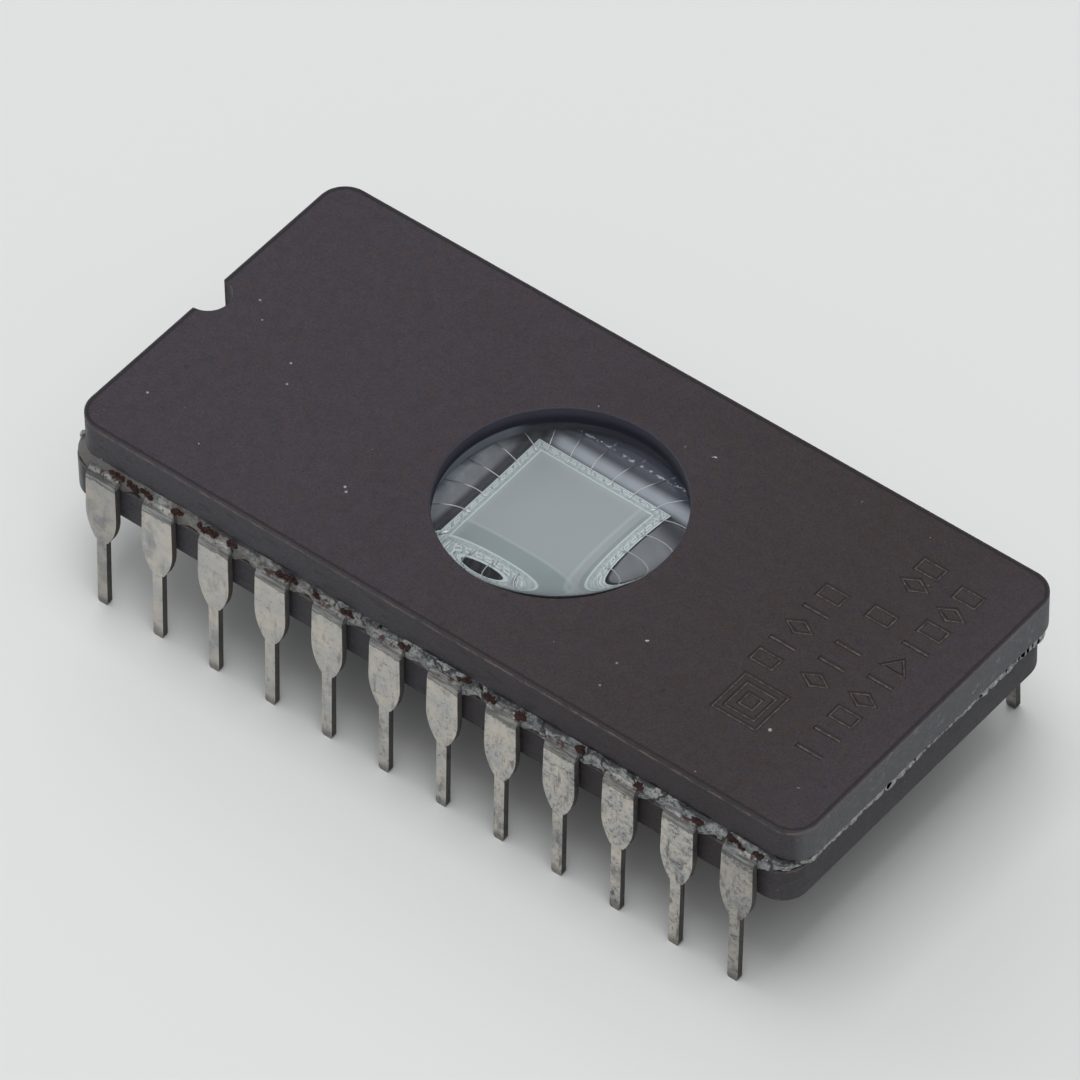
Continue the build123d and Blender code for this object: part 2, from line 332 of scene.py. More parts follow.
def length_property(name, description, millimetres):
    """A length setting, with its first value in millimetres."""
    return FloatProperty(
        name=name,
        description=description,
        unit="LENGTH",
        precision=6,
        default=millimetres * MM,
    )


def number_property(name, description, value, **settings):
    """A plain number or power setting."""
    return FloatProperty(name=name, description=description, default=value, **settings)


class ChipSizes(bpy.types.PropertyGroup):
    """Sizes of the pieces"""

    corner_radius: length_property("Body corner radius", "Radius of the body's upright corners", 1.05)
    cap_edge: length_property("Cap edge", "Width of the rounded edge round the top of the cap", 0.16)
    notch_radius: length_property("Notch radius", "Radius of the index notch in the cap's end", 0.85)
    notch_lip: length_property("Notch lip radius", "Rounding of the two lips of the notch", 0.22)
    notch_y: length_property("Notch place", "Place of the notch across the body", 0.08)
    hole_edge: length_property("Hole edge", "Width of the rounded edge of the window's hole", 0.09)
    recess_half: length_property("Recess half width", "Half the width of the recess under the cap", 4.95)
    recess_depth: length_property("Recess depth", "Depth of the recess under the cap", 0.12)
    mark_stroke: length_property("Mark stroke", "Radius of the round tool that engraved the marks", 0.2)
    lens_top: length_property("Lens top", "Level of the middle of the window's glass", 7.4)
    lens_top_fall: length_property("Lens top fall", "How far the top of the glass falls to the wall", 0.1)
    lens_bottom_rise: length_property("Lens bottom rise", "How far its underside rises to the wall", 0.6)
    lens_top_power: number_property("Lens top power", "2 is an even dome, more is flatter inside", 4.0)
    lens_bottom_power: number_property("Lens bottom power", "The same for the underside", 3.0)
    lens_grip: length_property("Lens grip", "How far the glass reaches into the ceramic wall", 0.05)
    wire_radius: length_property("Wire radius", "Radius of the bond wires", 0.016)
    lead_edge: length_property("Lead edge", "Width of the rounded edges of the leads", 0.045)
    bead_width: length_property("Bead width", "Width of the crusty rim of the sealing glass", 0.6)
    bead_mesh: length_property("Bead mesh", "Size of the faces of the crusty rim", 0.075)
    bead_lumps: length_property("Bead lumps", "Height of the lumps of the sealing glass", 0.1)
    bead_grain: length_property("Bead grain", "Height of the fine crust of the sealing glass", 0.035)


class ChipColours(bpy.types.PropertyGroup):
    """Colours of the finishes"""

    ceramic: colour_property("Ceramic", "Violet-brown ceramic of cap and base", 60, 55, 61)
    # Darker as well as browner: towards +X it also paints the falloff of the light.
    ceramic_warm: colour_property("Warm ceramic", "Browner ceramic away from the notch", 50, 43, 42)
    ceramic_blue: colour_property("Blue ceramic", "Cooler grain in the ceramic", 56, 56, 68)
    ceramic_red: colour_property("Red ceramic", "Warmer grain in the ceramic", 68, 56, 55)
    # The side walls' lighter, greyer tone is painted light, set by the way the faces look.
    ceramic_side: colour_property("Ceramic side", "Ceramic of the long side walls", 76, 74, 80)
    # The end walls' paleness is partly painted light, set by the way the faces look.
    ceramic_end: colour_property("Ceramic end", "Paler ceramic of the end walls of the cap", 124, 128, 134)
    worn: colour_property("Worn edge", "Rubbed edges and engraved strokes", 112, 101, 96)
    engraved: colour_property("Engraved marks", "Bottom of the engraved strokes", 98, 86, 82)
    dust: colour_property("Dust", "Pale specks on the ceramic", 190, 188, 184)
    seal: colour_property("Sealing glass", "Grey fused sealing glass", 128, 133, 136)
    seal_pale: colour_property("Pale sealing glass", "Crust of the sealing glass", 178, 180, 178)
    # Also the painted shade in the seal's hollows and under the cap's edge.
    seal_dark_and_shade: colour_property("Dark sealing glass", "Cracks and glassy parts of the seal", 40, 41, 46)
    tin: colour_property("Tin", "Dull tin plating of the leads", 216, 209, 199)
    tin_dull: colour_property("Dull tin", "Blue-grey patches on the leads", 148, 151, 154)
    stain: colour_property("Stain", "Dark stains and specks on the leads", 74, 70, 66)
    rust: colour_property("Rust", "Rust where the leads leave the seal", 62, 27, 22)
    silicon: colour_property("Silicon", "Middle of the die", 157, 161, 166)
    silicon_dark: colour_property("Dark silicon", "Outer fields of the die", 138, 148, 152)
    # Also the painted light near the die's far and left edges.
    silicon_pale: colour_property("Pale silicon", "Lines and border of the die", 176, 186, 189)
    floor: colour_property("Floor", "Pale floor and background", 221, 223, 222)


class ChipLight(bpy.types.PropertyGroup):
    """Lamps, sky and floor"""

    sky_strength: number_property("Sky strength", "Strength of the light from all round", 0.37)
    key_power: number_property("Key power", "Power of the lamp overhead", 3.63, unit="POWER")
    front_power: number_property("Front power", "Power of the lamp on the camera's side", 1.7, unit="POWER")
    back_power: number_property("Back power", "Power of the low lamp behind", 1.03, unit="POWER")
    left_power: number_property("Left power", "Power of the low lamp at the notch's end", 1.08, unit="POWER")
    lamp_width: number_property("Lamp width", "Width of each soft lamp", 0.55, unit="LENGTH")
    floor_size: number_property("Floor size", "Half the width of the floor", 3.0, unit="LENGTH")


def sizes():
    """The sizes of the property group, in millimetres. The powers of the lens are plain numbers."""
    group = bpy.context.scene.chip_sizes
    units = {name: 1 if name.endswith("power") else MM for name in ChipSizes.__annotations__}
    return {name: getattr(group, name) / unit for name, unit in units.items()}


def colours():
    """The colours of the property group."""
    return bpy.context.scene.chip_colours


# Node wiring


class Wiring:
    """Adds nodes to a tree and joins them."""

    def __init__(self, tree):
        self.tree = tree

    def add(self, kind, inputs=None, **settings):
        """A new node, with values or joined sockets for its inputs."""
        node = self.tree.nodes.new(kind)
        for name, value in settings.items():
            setattr(node, name, value)
        for key, value in (inputs or {}).items():
            self.put(node.inputs[key], value)
        return node

    def put(self, socket, value):
        """Joins a socket to an input, or sets the input's value."""
        if isinstance(value, bpy.types.NodeSocket):
            self.tree.links.new(value, socket)
        elif socket.type == "RGBA" and len(value) == 3:
            socket.default_value = (*value, 1.0)
        else:
            socket.default_value = value

    def maths(self, operation, first, second=0.0, third=0.0):
        return self.add("ShaderNodeMath", {0: first, 1: second, 2: third}, operation=operation).outputs[0]

    def plus(self, first, second):
        return self.maths("ADD", first, second)

    def minus(self, first, second):
        return self.maths("SUBTRACT", first, second)

    def times(self, first, second):
        return self.maths("MULTIPLY", first, second)

    def size_of(self, value):
        """The value without its sign."""
        return self.maths("ABSOLUTE", value)

    def farther(self, x, y):
        """The greater of two distances from zero."""
        return self.either(self.size_of(x), self.size_of(y))

    def vector(self, operation, first, second=(0, 0, 0)):
        node = self.add("ShaderNodeVectorMath", {0: first, 1: second}, operation=operation)
        return node.outputs["Value" if operation in ("LENGTH", "DOT_PRODUCT") else "Vector"]

    def split(self, vector):
        return self.add("ShaderNodeSeparateXYZ", {0: vector}).outputs

    def join(self, x, y, z):
        return self.add("ShaderNodeCombineXYZ", {0: x, 1: y, 2: z}).outputs[0]

    def facing(self):
        """The three parts of the way a face looks."""
        return self.split(self.add("ShaderNodeNewGeometry").outputs["Normal"])

    def mix(self, share, first, second):
        """The first colour where the share is 0, the second where it is 1."""
        node = self.add("ShaderNodeMix", data_type="RGBA")
        for index, value in ((0, share), (6, first), (7, second)):
            self.put(node.inputs[index], value)
        return node.outputs[2]

    def cover(self, colour, other, mask, strength=None):
        """The colour with another laid over it where the mask is 1."""
        share = mask if strength is None else self.times(mask, strength)
        return self.mix(share, colour, other)

    def between(self, value, low, high, start=0.0, end=1.0):
        """low where the value is start, high where it is end, in a straight line between them."""
        inputs = {"Value": value, "From Min": start, "From Max": end, "To Min": low, "To Max": high}
        return self.add("ShaderNodeMapRange", inputs).outputs[0]

    def step(self, value, start, end):
        """0 up to start, 1 from end, smooth between them. It falls where end is below start."""
        rising = start < end
        low, high = (start, end) if rising else (end, start)
        node = self.add(
            "ShaderNodeMapRange",
            {"Value": value, "From Min": low, "From Max": high},
            interpolation_type="SMOOTHSTEP",
        )
        node.inputs["To Min"].default_value = 0.0 if rising else 1.0
        node.inputs["To Max"].default_value = 1.0 if rising else 0.0
        return node.outputs[0]

    def band(self, value, start, full, fade, end):
        """1 from full to fade, and smoothly down to 0 at start and end."""
        return self.both(self.step(value, start, full), self.step(value, end, fade))

    def both(self, *masks):
        """1 where all the masks are 1."""
        result = masks[0]
        for mask in masks[1:]:
            result = self.times(result, mask)
        return result

    def either(self, *masks):
        """1 where one of the masks is 1."""
        result = masks[0]
        for mask in masks[1:]:
            result = self.maths("MAXIMUM", result, mask)
        return result

    def opposite(self, mask):
        return self.minus(1.0, mask)

    def noise(self, vector, scale, detail=3.0, roughness=0.6):
        inputs = {"Vector": vector, "Scale": scale, "Detail": detail, "Roughness": roughness}
        return self.add("ShaderNodeTexNoise", inputs).outputs["Fac"]

    def cells(self, vector, scale, feature="F1"):
        return self.add("ShaderNodeTexVoronoi", {"Vector": vector, "Scale": scale}, feature=feature)

    def effect(self, tree, **inputs):
        """A shared effect with its inputs by name."""
        node = self.add("ShaderNodeGroup", node_tree=tree)
        for name, value in inputs.items():
            self.put(node.inputs[name.replace("_", " ")], value)
        return node.outputs


def new_group(name, inputs, outputs):
    """An empty shader group with its named sockets, its wiring and its two ends."""
    tree = bpy.data.node_groups.new(name, "ShaderNodeTree")
    for socket_name, kind, value in inputs:
        socket = tree.interface.new_socket(socket_name, in_out="INPUT", socket_type=kind)
        if value is not None:
            socket.default_value = value
    for socket_name, kind in outputs:
        tree.interface.new_socket(socket_name, in_out="OUTPUT", socket_type=kind)
    wiring = Wiring(tree)
    start = wiring.add("NodeGroupInput").outputs
    end = wiring.add("NodeGroupOutput").inputs
    return tree, wiring, start, end


NUMBER = "NodeSocketFloat"
VECTOR = "NodeSocketVector"


def specks_group():
    """Small scattered spots: one in some of the cells, of uneven shape."""
    tree, wiring, start, end = new_group(
        "Scattered specks",
        [("Place", VECTOR, None), ("Scale", NUMBER, 1.0), ("Share", NUMBER, 0.1), ("Radius", NUMBER, 0.2)],
        [("Mask", NUMBER)],
    )
    ragged = wiring.add("ShaderNodeTexNoise", {"Vector": start["Place"], "Scale": 7.0, "Detail": 2.0})
    shift = wiring.vector("SCALE", wiring.vector("SUBTRACT", ragged.outputs["Color"], (0.5, 0.5, 0.5)))
    shift.node.inputs["Scale"].default_value = 0.25
    place = wiring.vector("ADD", start["Place"], shift)
    cells = wiring.cells(place, 1.0)
    wiring.put(cells.inputs["Scale"], start["Scale"])
    tones = wiring.split(cells.outputs["Color"])
    chosen = wiring.maths("LESS_THAN", tones[0], start["Share"])
    size = wiring.times(start["Radius"], wiring.plus(0.35, tones[1]))
    inside = wiring.maths("LESS_THAN", cells.outputs["Distance"], size)
    wiring.put(end["Mask"], wiring.both(chosen, inside))
    return tree


def outline_group():
    """Distance in from a rounded rectangle's outline, in the units of the place."""
    tree, wiring, start, end = new_group(
        "Inside outline",
        [("Place", VECTOR, None), ("Centre", VECTOR, None), ("Half", VECTOR, None), ("Corner", NUMBER, 1.0)],
        [("Depth", NUMBER)],
    )
    offset = wiring.vector("ABSOLUTE", wiring.vector("SUBTRACT", start["Place"], start["Centre"]))
    corner = wiring.join(start["Corner"], start["Corner"], 0.0)
    beyond = wiring.vector("SUBTRACT", offset, wiring.vector("SUBTRACT", start["Half"], corner))
    parts = wiring.split(beyond)
    flat = wiring.join(wiring.maths("MAXIMUM", parts[0], 0.0), wiring.maths("MAXIMUM", parts[1], 0.0), 0.0)
    outside = wiring.vector("LENGTH", flat)
    inner = wiring.maths("MINIMUM", wiring.maths("MAXIMUM", parts[0], parts[1]), 0.0)
    distance = wiring.minus(wiring.plus(outside, inner), start["Corner"])
    wiring.put(end["Depth"], wiring.times(distance, -1.0))
    return tree


def cracks_group():
    """Thin wandering cracks along the borders of uneven cells."""
    tree, wiring, start, end = new_group(
        "Cracks",
        [("Place", VECTOR, None), ("Scale", NUMBER, 1.0), ("Width", NUMBER, 0.05)],
        [("Mask", NUMBER)],
    )
    bend = wiring.add("ShaderNodeTexNoise", {"Vector": start["Place"], "Scale": 2.5, "Detail": 3.0})
    shift = wiring.vector("SCALE", wiring.vector("SUBTRACT", bend.outputs["Color"], (0.5, 0.5, 0.5)))
    shift.node.inputs["Scale"].default_value = 0.6
    cells = wiring.cells(wiring.vector("ADD", start["Place"], shift), 1.0, "DISTANCE_TO_EDGE")
    wiring.put(cells.inputs["Scale"], start["Scale"])
    share = wiring.maths("DIVIDE", cells.outputs["Distance"], start["Width"])
    wiring.put(end["Mask"], wiring.step(share, 1.0, 0.4))
    return tree


def effect_group(name):
    """A shared effect, built when a material first asks for it."""
    builders = {"Scattered specks": specks_group, "Inside outline": outline_group, "Cracks": cracks_group}
    return bpy.data.node_groups.get(name) or builders[name]()


def new_material(name):
    """A material with its wiring, its shader and the object's own place in millimetres."""
    material = bpy.data.materials.new(name)
    material.use_nodes = True
    tree = material.node_tree
    wiring = Wiring(tree)
    shader = tree.nodes["Principled BSDF"]
    coordinates = wiring.add("ShaderNodeTexCoord").outputs["Object"]
    place = wiring.vector("SCALE", coordinates)
    place.node.inputs["Scale"].default_value = 1 / MM
    return material, wiring, shader, place


def bump(wiring, shader, height, distance, strength=1.0):
    """Relief whose full height is distance, in millimetres."""
    node = wiring.add("ShaderNodeBump", {"Height": height, "Strength": strength, "Distance": distance * MM})
    wiring.put(shader.inputs["Normal"], node.outputs[0])


def ceramic_side_tone(wiring, place, warmth_and_falloff):
    """The long side walls: a lighter, greyer copy of the ceramic, set by the way they face, which is painted
    light, with soft brown scuffs.
    """
    tint = colours()
    scuffs = wiring.noise(wiring.vector("MULTIPLY", place, (0.8, 0.8, 3.0)), 1.0, 4.0, 0.7)
    warm_side = wiring.mix(0.3, tint.ceramic_warm, tint.ceramic_side)
    tone = wiring.cover(tint.ceramic_side, warm_side, warmth_and_falloff, 0.85)
    return wiring.cover(tone, tint.ceramic_warm, wiring.step(scuffs, 0.52, 0.66), 0.4)


def ceramic_end_tone(wiring, mottle, grain, plain_end):
    """The paler end walls with rubbed brown patches; their paleness is partly a paler finish and partly
    painted light. They are paler still where the end isn't plain, which is painted light.
    """
    tint = colours()
    rubbed = wiring.step(wiring.plus(mottle, wiring.times(grain, 0.4)), 0.5, 0.62)
    tone = wiring.mix(rubbed, tint.ceramic_end, wiring.mix(0.55, tint.ceramic_end, tint.ceramic_warm))
    if not plain_end:
        tone = wiring.mix(0.45, tone, srgb(186, 186, 186))
    return tone


def with_hole_wall(wiring, colour, place):
    """The wall of the window's hole: dark blue painted shade, lighter towards the top as painted light, with
    glass fused to it on the notch's side.
    """
    x, y, z = wiring.split(place)
    away = wiring.vector("SUBTRACT", place, (WINDOW_MIDDLE.x, WINDOW_MIDDLE.y, 0.0))
    away = wiring.vector("LENGTH", wiring.vector("MULTIPLY", away, (1.0, 1.0, 0.0)))
    radius = WINDOW_HIGH.x - WINDOW_MIDDLE.x
    in_hole = wiring.step(away, radius + HOLE_WALL_OUTER, radius + HOLE_WALL_INNER)
    wall = wiring.mix(wiring.step(z, *HOLE_WALL_PAINTED_LIGHT), srgb(42, 43, 56), srgb(76, 75, 87))
    fused = wiring.both(wiring.step(z, *FUSED_Z), wiring.step(x, *FUSED_X), wiring.step(y, *FUSED_Y))
    wall = wiring.cover(wall, srgb(122, 127, 137), fused)
    return wiring.cover(colour, wall, in_hole)


def with_edge_wear_and_shade(wiring, colour, place, depth, top_z):
    """A fuzzy dark line of painted shade inside the top edge and a broken rubbed line below it."""
    z = wiring.split(place)[2]
    near_edge = wiring.step(depth, *EDGE_WEAR_AND_SHADE_REACH)
    broken = wiring.step(wiring.noise(place, 1.6, 5.0, 0.75), 0.42, 0.58)
    fuzz = wiring.times(wiring.noise(place, 3.5, 4.0, 0.8), 0.12)
    fuzzy_z = wiring.plus(z, fuzz)
    rub_line = wiring.band(fuzzy_z, *(top_z + offset for offset in RUB_LINE))
    fuzzy_depth = wiring.plus(depth, fuzz)
    on_top = wiring.step(z, top_z - 0.06, top_z - 0.03)
    shade_line = wiring.both(wiring.band(fuzzy_depth, *EDGE_SHADE_LINE), on_top)
    # Painted shade along the rounded top edge.
    colour = wiring.cover(colour, EDGE_PAINTED_SHADE, wiring.both(shade_line, near_edge), 0.7)
    rubbing = wiring.both(rub_line, near_edge, wiring.plus(0.2, wiring.times(broken, 0.8)))
    return wiring.cover(colour, colours().worn, rubbing)


def with_dust(wiring, colour, place, grain, top_z, plain_end):
    """Pits with painted shade in them, fine dust and a few larger specks. Gives the colour and the mask of
    the pits.
    """
    tint = colours()
    specks = effect_group("Scattered specks")
    dust = wiring.effect(specks, Place=place, Scale=0.62, Share=0.2, Radius=0.034)["Mask"]
    fine_dust = wiring.effect(specks, Place=place, Scale=1.9, Share=0.09, Radius=0.07)["Mask"]
    pits = wiring.effect(specks, Place=place, Scale=1.3, Share=0.12, Radius=0.09)["Mask"]
    # Painted shade in the pits.
    colour = wiring.cover(colour, PIT_PAINTED_SHADE, pits, 0.4)
    colour = wiring.cover(colour, tint.dust, fine_dust, 0.25)
    colour = wiring.cover(colour, tint.dust, dust, 0.75)
    for spot_x, spot_y, radius in DUST_SPOTS if plain_end else ():
        away = wiring.vector("LENGTH", wiring.vector("SUBTRACT", place, (spot_x, spot_y, top_z)))
        ragged = wiring.plus(away, wiring.times(grain, 0.12))
        colour = wiring.cover(colour, tint.dust, wiring.step(ragged, radius + SPOT_FADE, radius), 0.85)
    return colour, pits


def ceramic_material(name, middle, top, notch_end, plain_end):
    """Pressed ceramic with specks and rubbed edges, browner and darker towards +X, the darkening a painted
    falloff of the light. Its walls are painted light, with painted shade along the top edge and in the pits.
    Two shares make its ends paler, partly as painted light.
    """
    tint = colours()
    material, wiring, shader, place = new_material(name)
    x, y, z = wiring.split(place)
    normal = wiring.facing()
    clouds = wiring.noise(place, 0.35, 4.0)
    mottle = wiring.noise(place, 2.2, 4.0, 0.7)
    grain = wiring.noise(place, 14.0, 2.0, 0.7)
    # Browner and darker towards +X: the darkening is a painted falloff of the light.
    warmth_and_falloff = wiring.step(wiring.plus(x, wiring.times(clouds, WARM_DRIFT)), *WARM_RUN)
    warmth_and_falloff = wiring.both(warmth_and_falloff, wiring.between(x, 1.0, 0.4, *WARM_FADE))
    colour = wiring.mix(warmth_and_falloff, tint.ceramic, tint.ceramic_warm)
    patches = wiring.step(wiring.noise(place, 5.5, 3.0, 0.7), 0.4, 0.6)
    colour = wiring.mix(0.35, colour, wiring.mix(patches, tint.ceramic_blue, tint.ceramic_red))
    # Upright faces take the side walls' painted light.
    wall = wiring.step(wiring.size_of(normal[2]), *WALL_TILT)
    colour = wiring.cover(colour, ceramic_side_tone(wiring, place, warmth_and_falloff), wall)
    # Paler end walls, partly painted light.
    right_wall = wiring.times(wiring.step(normal[0], *RIGHT_END_TILT), plain_end)
    left_wall = wiring.times(wiring.step(normal[0], *NOTCH_END_TILT), notch_end)
    end_wall = wiring.both(wiring.either(right_wall, left_wall), wall)
    colour = wiring.cover(colour, ceramic_end_tone(wiring, mottle, grain, plain_end), end_wall)
    fine_shade = wiring.between(grain, 0.76, 1.24, 0.3, 0.7)
    wide_shade = wiring.between(mottle, 0.86, 1.14, 0.25, 0.75)
    shaded = wiring.add("ShaderNodeVectorMath", {0: colour}, operation="SCALE")
    wiring.put(shaded.inputs["Scale"], wiring.both(fine_shade, wide_shade))
    colour = shaded.outputs[0]
    depth = wiring.effect(
        effect_group("Inside outline"),
        Place=place,
        Centre=(middle.x, middle.y, 0.0),
        Half=(*(top - middle).xy, 0.0),
        Corner=sizes()["corner_radius"],
    )["Depth"]
    if plain_end:
        colour = with_hole_wall(wiring, colour, place)
    colour = with_edge_wear_and_shade(wiring, colour, place, depth, top.z)
    colour, pits = with_dust(wiring, colour, place, grain, top.z, plain_end)
    wiring.put(shader.inputs["Base Color"], colour)
    wiring.put(shader.inputs["Roughness"], wiring.between(mottle, 0.5, 0.72))
    shader.inputs["Specular IOR Level"].default_value = 0.22
    relief = wiring.plus(wiring.times(grain, 0.5), wiring.times(mottle, 1.0))
    bump(wiring, shader, wiring.minus(relief, wiring.times(pits, 0.8)), 0.03)
    return material


def engraved_material():
    """The rubbed strokes of the engraved marks."""
    tint = colours()
    material, wiring, shader, place = new_material("Engraved ceramic")
    patches = wiring.noise(place, 4.0, 4.0, 0.7)
    level = wiring.plus(wiring.split(place)[2], wiring.times(wiring.noise(place, 6.0, 4.0, 0.8), 0.02))
    shadow = wiring.step(level, *(CAP_HIGH.z + offset for offset in STROKE_SHADOW))
    deep = wiring.step(level, *(CAP_HIGH.z + offset for offset in STROKE_BOTTOM))
    ceramic = wiring.mix(0.5, tint.ceramic, tint.ceramic_warm)
    colour = wiring.cover(ceramic, srgb(38, 33, 34), shadow, 0.8)
    rubbed = wiring.both(deep, wiring.plus(0.25, wiring.times(wiring.step(patches, 0.4, 0.6), 0.75)))
    wiring.put(shader.inputs["Base Color"], wiring.cover(colour, tint.engraved, rubbed))
    shader.inputs["Roughness"].default_value = 0.7
    shader.inputs["Specular IOR Level"].default_value = 0.3
    bump(wiring, shader, wiring.noise(place, 16.0, 2.0), 0.02)
    return material


def inner_glass_colour(wiring, place):
    """The smooth glass round the cavity: painted light near the wall on the notch's side and a paler painted
    band on the far side, dark blue painted shade elsewhere, with a line of specks.
    """
    x, y, z = wiring.split(place)
    clouds = wiring.noise(place, 1.6, 3.0)
    dark = wiring.mix(clouds, srgb(56, 59, 73), srgb(68, 71, 88))
    far = wiring.both(wiring.step(y, *FAR_GLASS_OUT), wiring.step(y, *FAR_GLASS_IN))
    # A paler band of painted light on the far side, over the dark blue painted shade.
    colour = wiring.cover(dark, srgb(80, 84, 92), far)
    # Painted light on the notch's side.
    left = wiring.both(wiring.step(x, *LEFT_GLASS_X), wiring.step(y, *LEFT_GLASS_Y))
    lit = wiring.mix(wiring.step(clouds, 0.35, 0.65), srgb(98, 103, 112), srgb(128, 133, 142))
    colour = wiring.cover(colour, lit, left)
    ragged = wiring.plus(y, wiring.times(wiring.noise(place, 2.6, 3.0, 0.7), 0.3))
    broken = wiring.step(wiring.noise(place, 5.0, 3.0, 0.8), 0.5, 0.56)
    line = wiring.both(wiring.band(ragged, *SPECK_LINE), broken)
    return wiring.cover(colour, srgb(190, 195, 202), line, 0.85)


def seal_material():
    """Fused glass frit: crusty and cracked outside, with painted shade in its hollows and under the cap's
    edge; glassy under the window, in the inner glass's painted light and shade.
    """
    tint = colours()
    material, wiring, shader, place = new_material("Sealing glass")
    x, y, z = wiring.split(place)
    clouds = wiring.noise(place, 1.3, 5.0, 0.7)
    crust = wiring.noise(place, 6.5, 4.0, 0.75)
    colour = wiring.mix(wiring.step(clouds, 0.38, 0.6), tint.seal, tint.seal_pale)
    # Painted shade in the hollows of the crust.
    shaded_hollows = wiring.step(crust, 0.52, 0.38)
    colour = wiring.cover(colour, wiring.mix(0.6, tint.seal, tint.seal_dark_and_shade), shaded_hollows)
    colour = wiring.cover(colour, srgb(104, 104, 104), wiring.step(x, *GREY_END), 0.9)
    warm = wiring.both(wiring.step(x, *WARM_SEAL), wiring.step(wiring.noise(place, 0.8, 3.0), 0.4, 0.6))
    colour = wiring.cover(colour, srgb(118, 108, 98), warm, 0.55)
    # A dark band of painted shade where the seal meets the cap's edge.
    cap_shade_start, cap_shade_end = (GLASS_HIGH.z + offset for offset in CAP_SHADE_LEVELS)
    shade_under_cap = wiring.step(wiring.plus(z, wiring.times(crust, 0.35)), cap_shade_start, cap_shade_end)
    broken = wiring.step(wiring.noise(place, 1.1, 3.0), 0.42, 0.52)
    shade_under_cap = wiring.both(shade_under_cap, broken, wiring.step(x, *CAP_SHADE_RUN))
    colour = wiring.cover(colour, tint.seal_dark_and_shade, shade_under_cap, 0.85)
    cracks = wiring.effect(effect_group("Cracks"), Place=place, Scale=0.75, Width=0.05)["Mask"]
    cracks = wiring.both(cracks, wiring.step(clouds, 0.4, 0.5), wiring.step(x, *CRACKED_RUN))
    colour = wiring.cover(colour, tint.seal_dark_and_shade, cracks, 0.9)
    inside = wiring.step(wiring.farther(x, y), *SEAL_INSIDE)
    colour = wiring.cover(colour, inner_glass_colour(wiring, place), inside)
    wiring.put(shader.inputs["Base Color"], colour)
    wiring.put(shader.inputs["Roughness"], wiring.between(inside, 0.7, 0.2))
    height = wiring.minus(crust, wiring.times(cracks, 0.8))
    bump(wiring, shader, wiring.both(height, wiring.opposite(inside)), 0.1)
    return material


def trough_material():
    """Smooth dark glass that has flowed down the cavity's wall, with painted highlight bands on its far and
    notch sides and painted light on its +X side.
    """
    material, wiring, shader, place = new_material("Cavity glass")
    clouds = wiring.noise(place, 1.2, 3.0)
    x, y, z = wiring.split(place)
    colour = wiring.mix(clouds, srgb(52, 52, 60), srgb(66, 66, 76))
    outer = wiring.step(wiring.farther(x, y), *TROUGH_OUTER)
    colour = wiring.cover(colour, inner_glass_colour(wiring, place), outer)
    # Painted highlight bands on the far and notch sides, and painted light on the +X side.
    far = wiring.both(wiring.band(y, *FAR_SHEEN_Y), wiring.step(x, *FAR_SHEEN_X))
    colour = wiring.cover(colour, srgb(192, 196, 206), far)
    left = wiring.both(wiring.band(x, *LEFT_SHEEN_X), wiring.step(y, *LEFT_SHEEN_Y))
    colour = wiring.cover(colour, srgb(150, 152, 158), left, 0.6)
    colour = wiring.cover(colour, srgb(112, 114, 120), wiring.step(x, *RIGHT_SHEEN_X))
    wiring.put(shader.inputs["Base Color"], colour)
    wiring.put(shader.inputs["Roughness"], wiring.between(clouds, 0.16, 0.3))
    shader.inputs["Specular IOR Level"].default_value = 0.7
    return material


def rim_material():
    """Smooth grey bond that has risen along the sides of the die, with painted shade on its far and notch
    sides and a mottled painted shade in front.
    """
    material, wiring, shader, place = new_material("Bond rim")
    clouds = wiring.noise(place, 1.4, 3.0)
    x, y, z = wiring.split(place)
    colour = wiring.mix(clouds, srgb(150, 151, 157), srgb(176, 177, 183))
    # Painted shade on the far side, in front and on the notch's side.
    colour = wiring.cover(colour, srgb(92, 93, 102), wiring.step(y, 1.7, 2.5))
    near = wiring.step(y, DIE_LOW.y + 0.1, DIE_LOW.y - 0.02)
    near_tone = wiring.mix(wiring.step(clouds, 0.4, 0.6), srgb(84, 88, 94), srgb(120, 125, 130))
    colour = wiring.cover(colour, near_tone, near)
    colour = wiring.cover(colour, srgb(60, 60, 68), wiring.step(x, DIE_LOW.x + 0.1, DIE_LOW.x))
    wiring.put(shader.inputs["Base Color"], colour)
    wiring.put(shader.inputs["Roughness"], wiring.between(clouds, 0.3, 0.45))
    return material


def window_material():
    """Clear glass. It lets lamps light the die through it."""
    material, wiring, shader, place = new_material("Window glass")
    shader.inputs["Base Color"].default_value = (*srgb(238, 243, 243), 1.0)
    shader.inputs["Transmission Weight"].default_value = 1.0
    shader.inputs["IOR"].default_value = 1.48
    smears = wiring.noise(place, 0.8, 4.0)
    wiring.put(shader.inputs["Roughness"], wiring.between(smears, 0.0, 0.03, 0.4))
    clear = wiring.add("ShaderNodeBsdfTransparent")
    path = wiring.add("ShaderNodeLightPath").outputs
    light_ray = wiring.either(path["Is Shadow Ray"], path["Is Diffuse Ray"])
    either = wiring.add("ShaderNodeMixShader", {0: light_ray, 1: shader.outputs[0], 2: clear.outputs[0]})
    out = material.node_tree.nodes["Material Output"]
    wiring.put(out.inputs["Surface"], either.outputs[0])
    return material


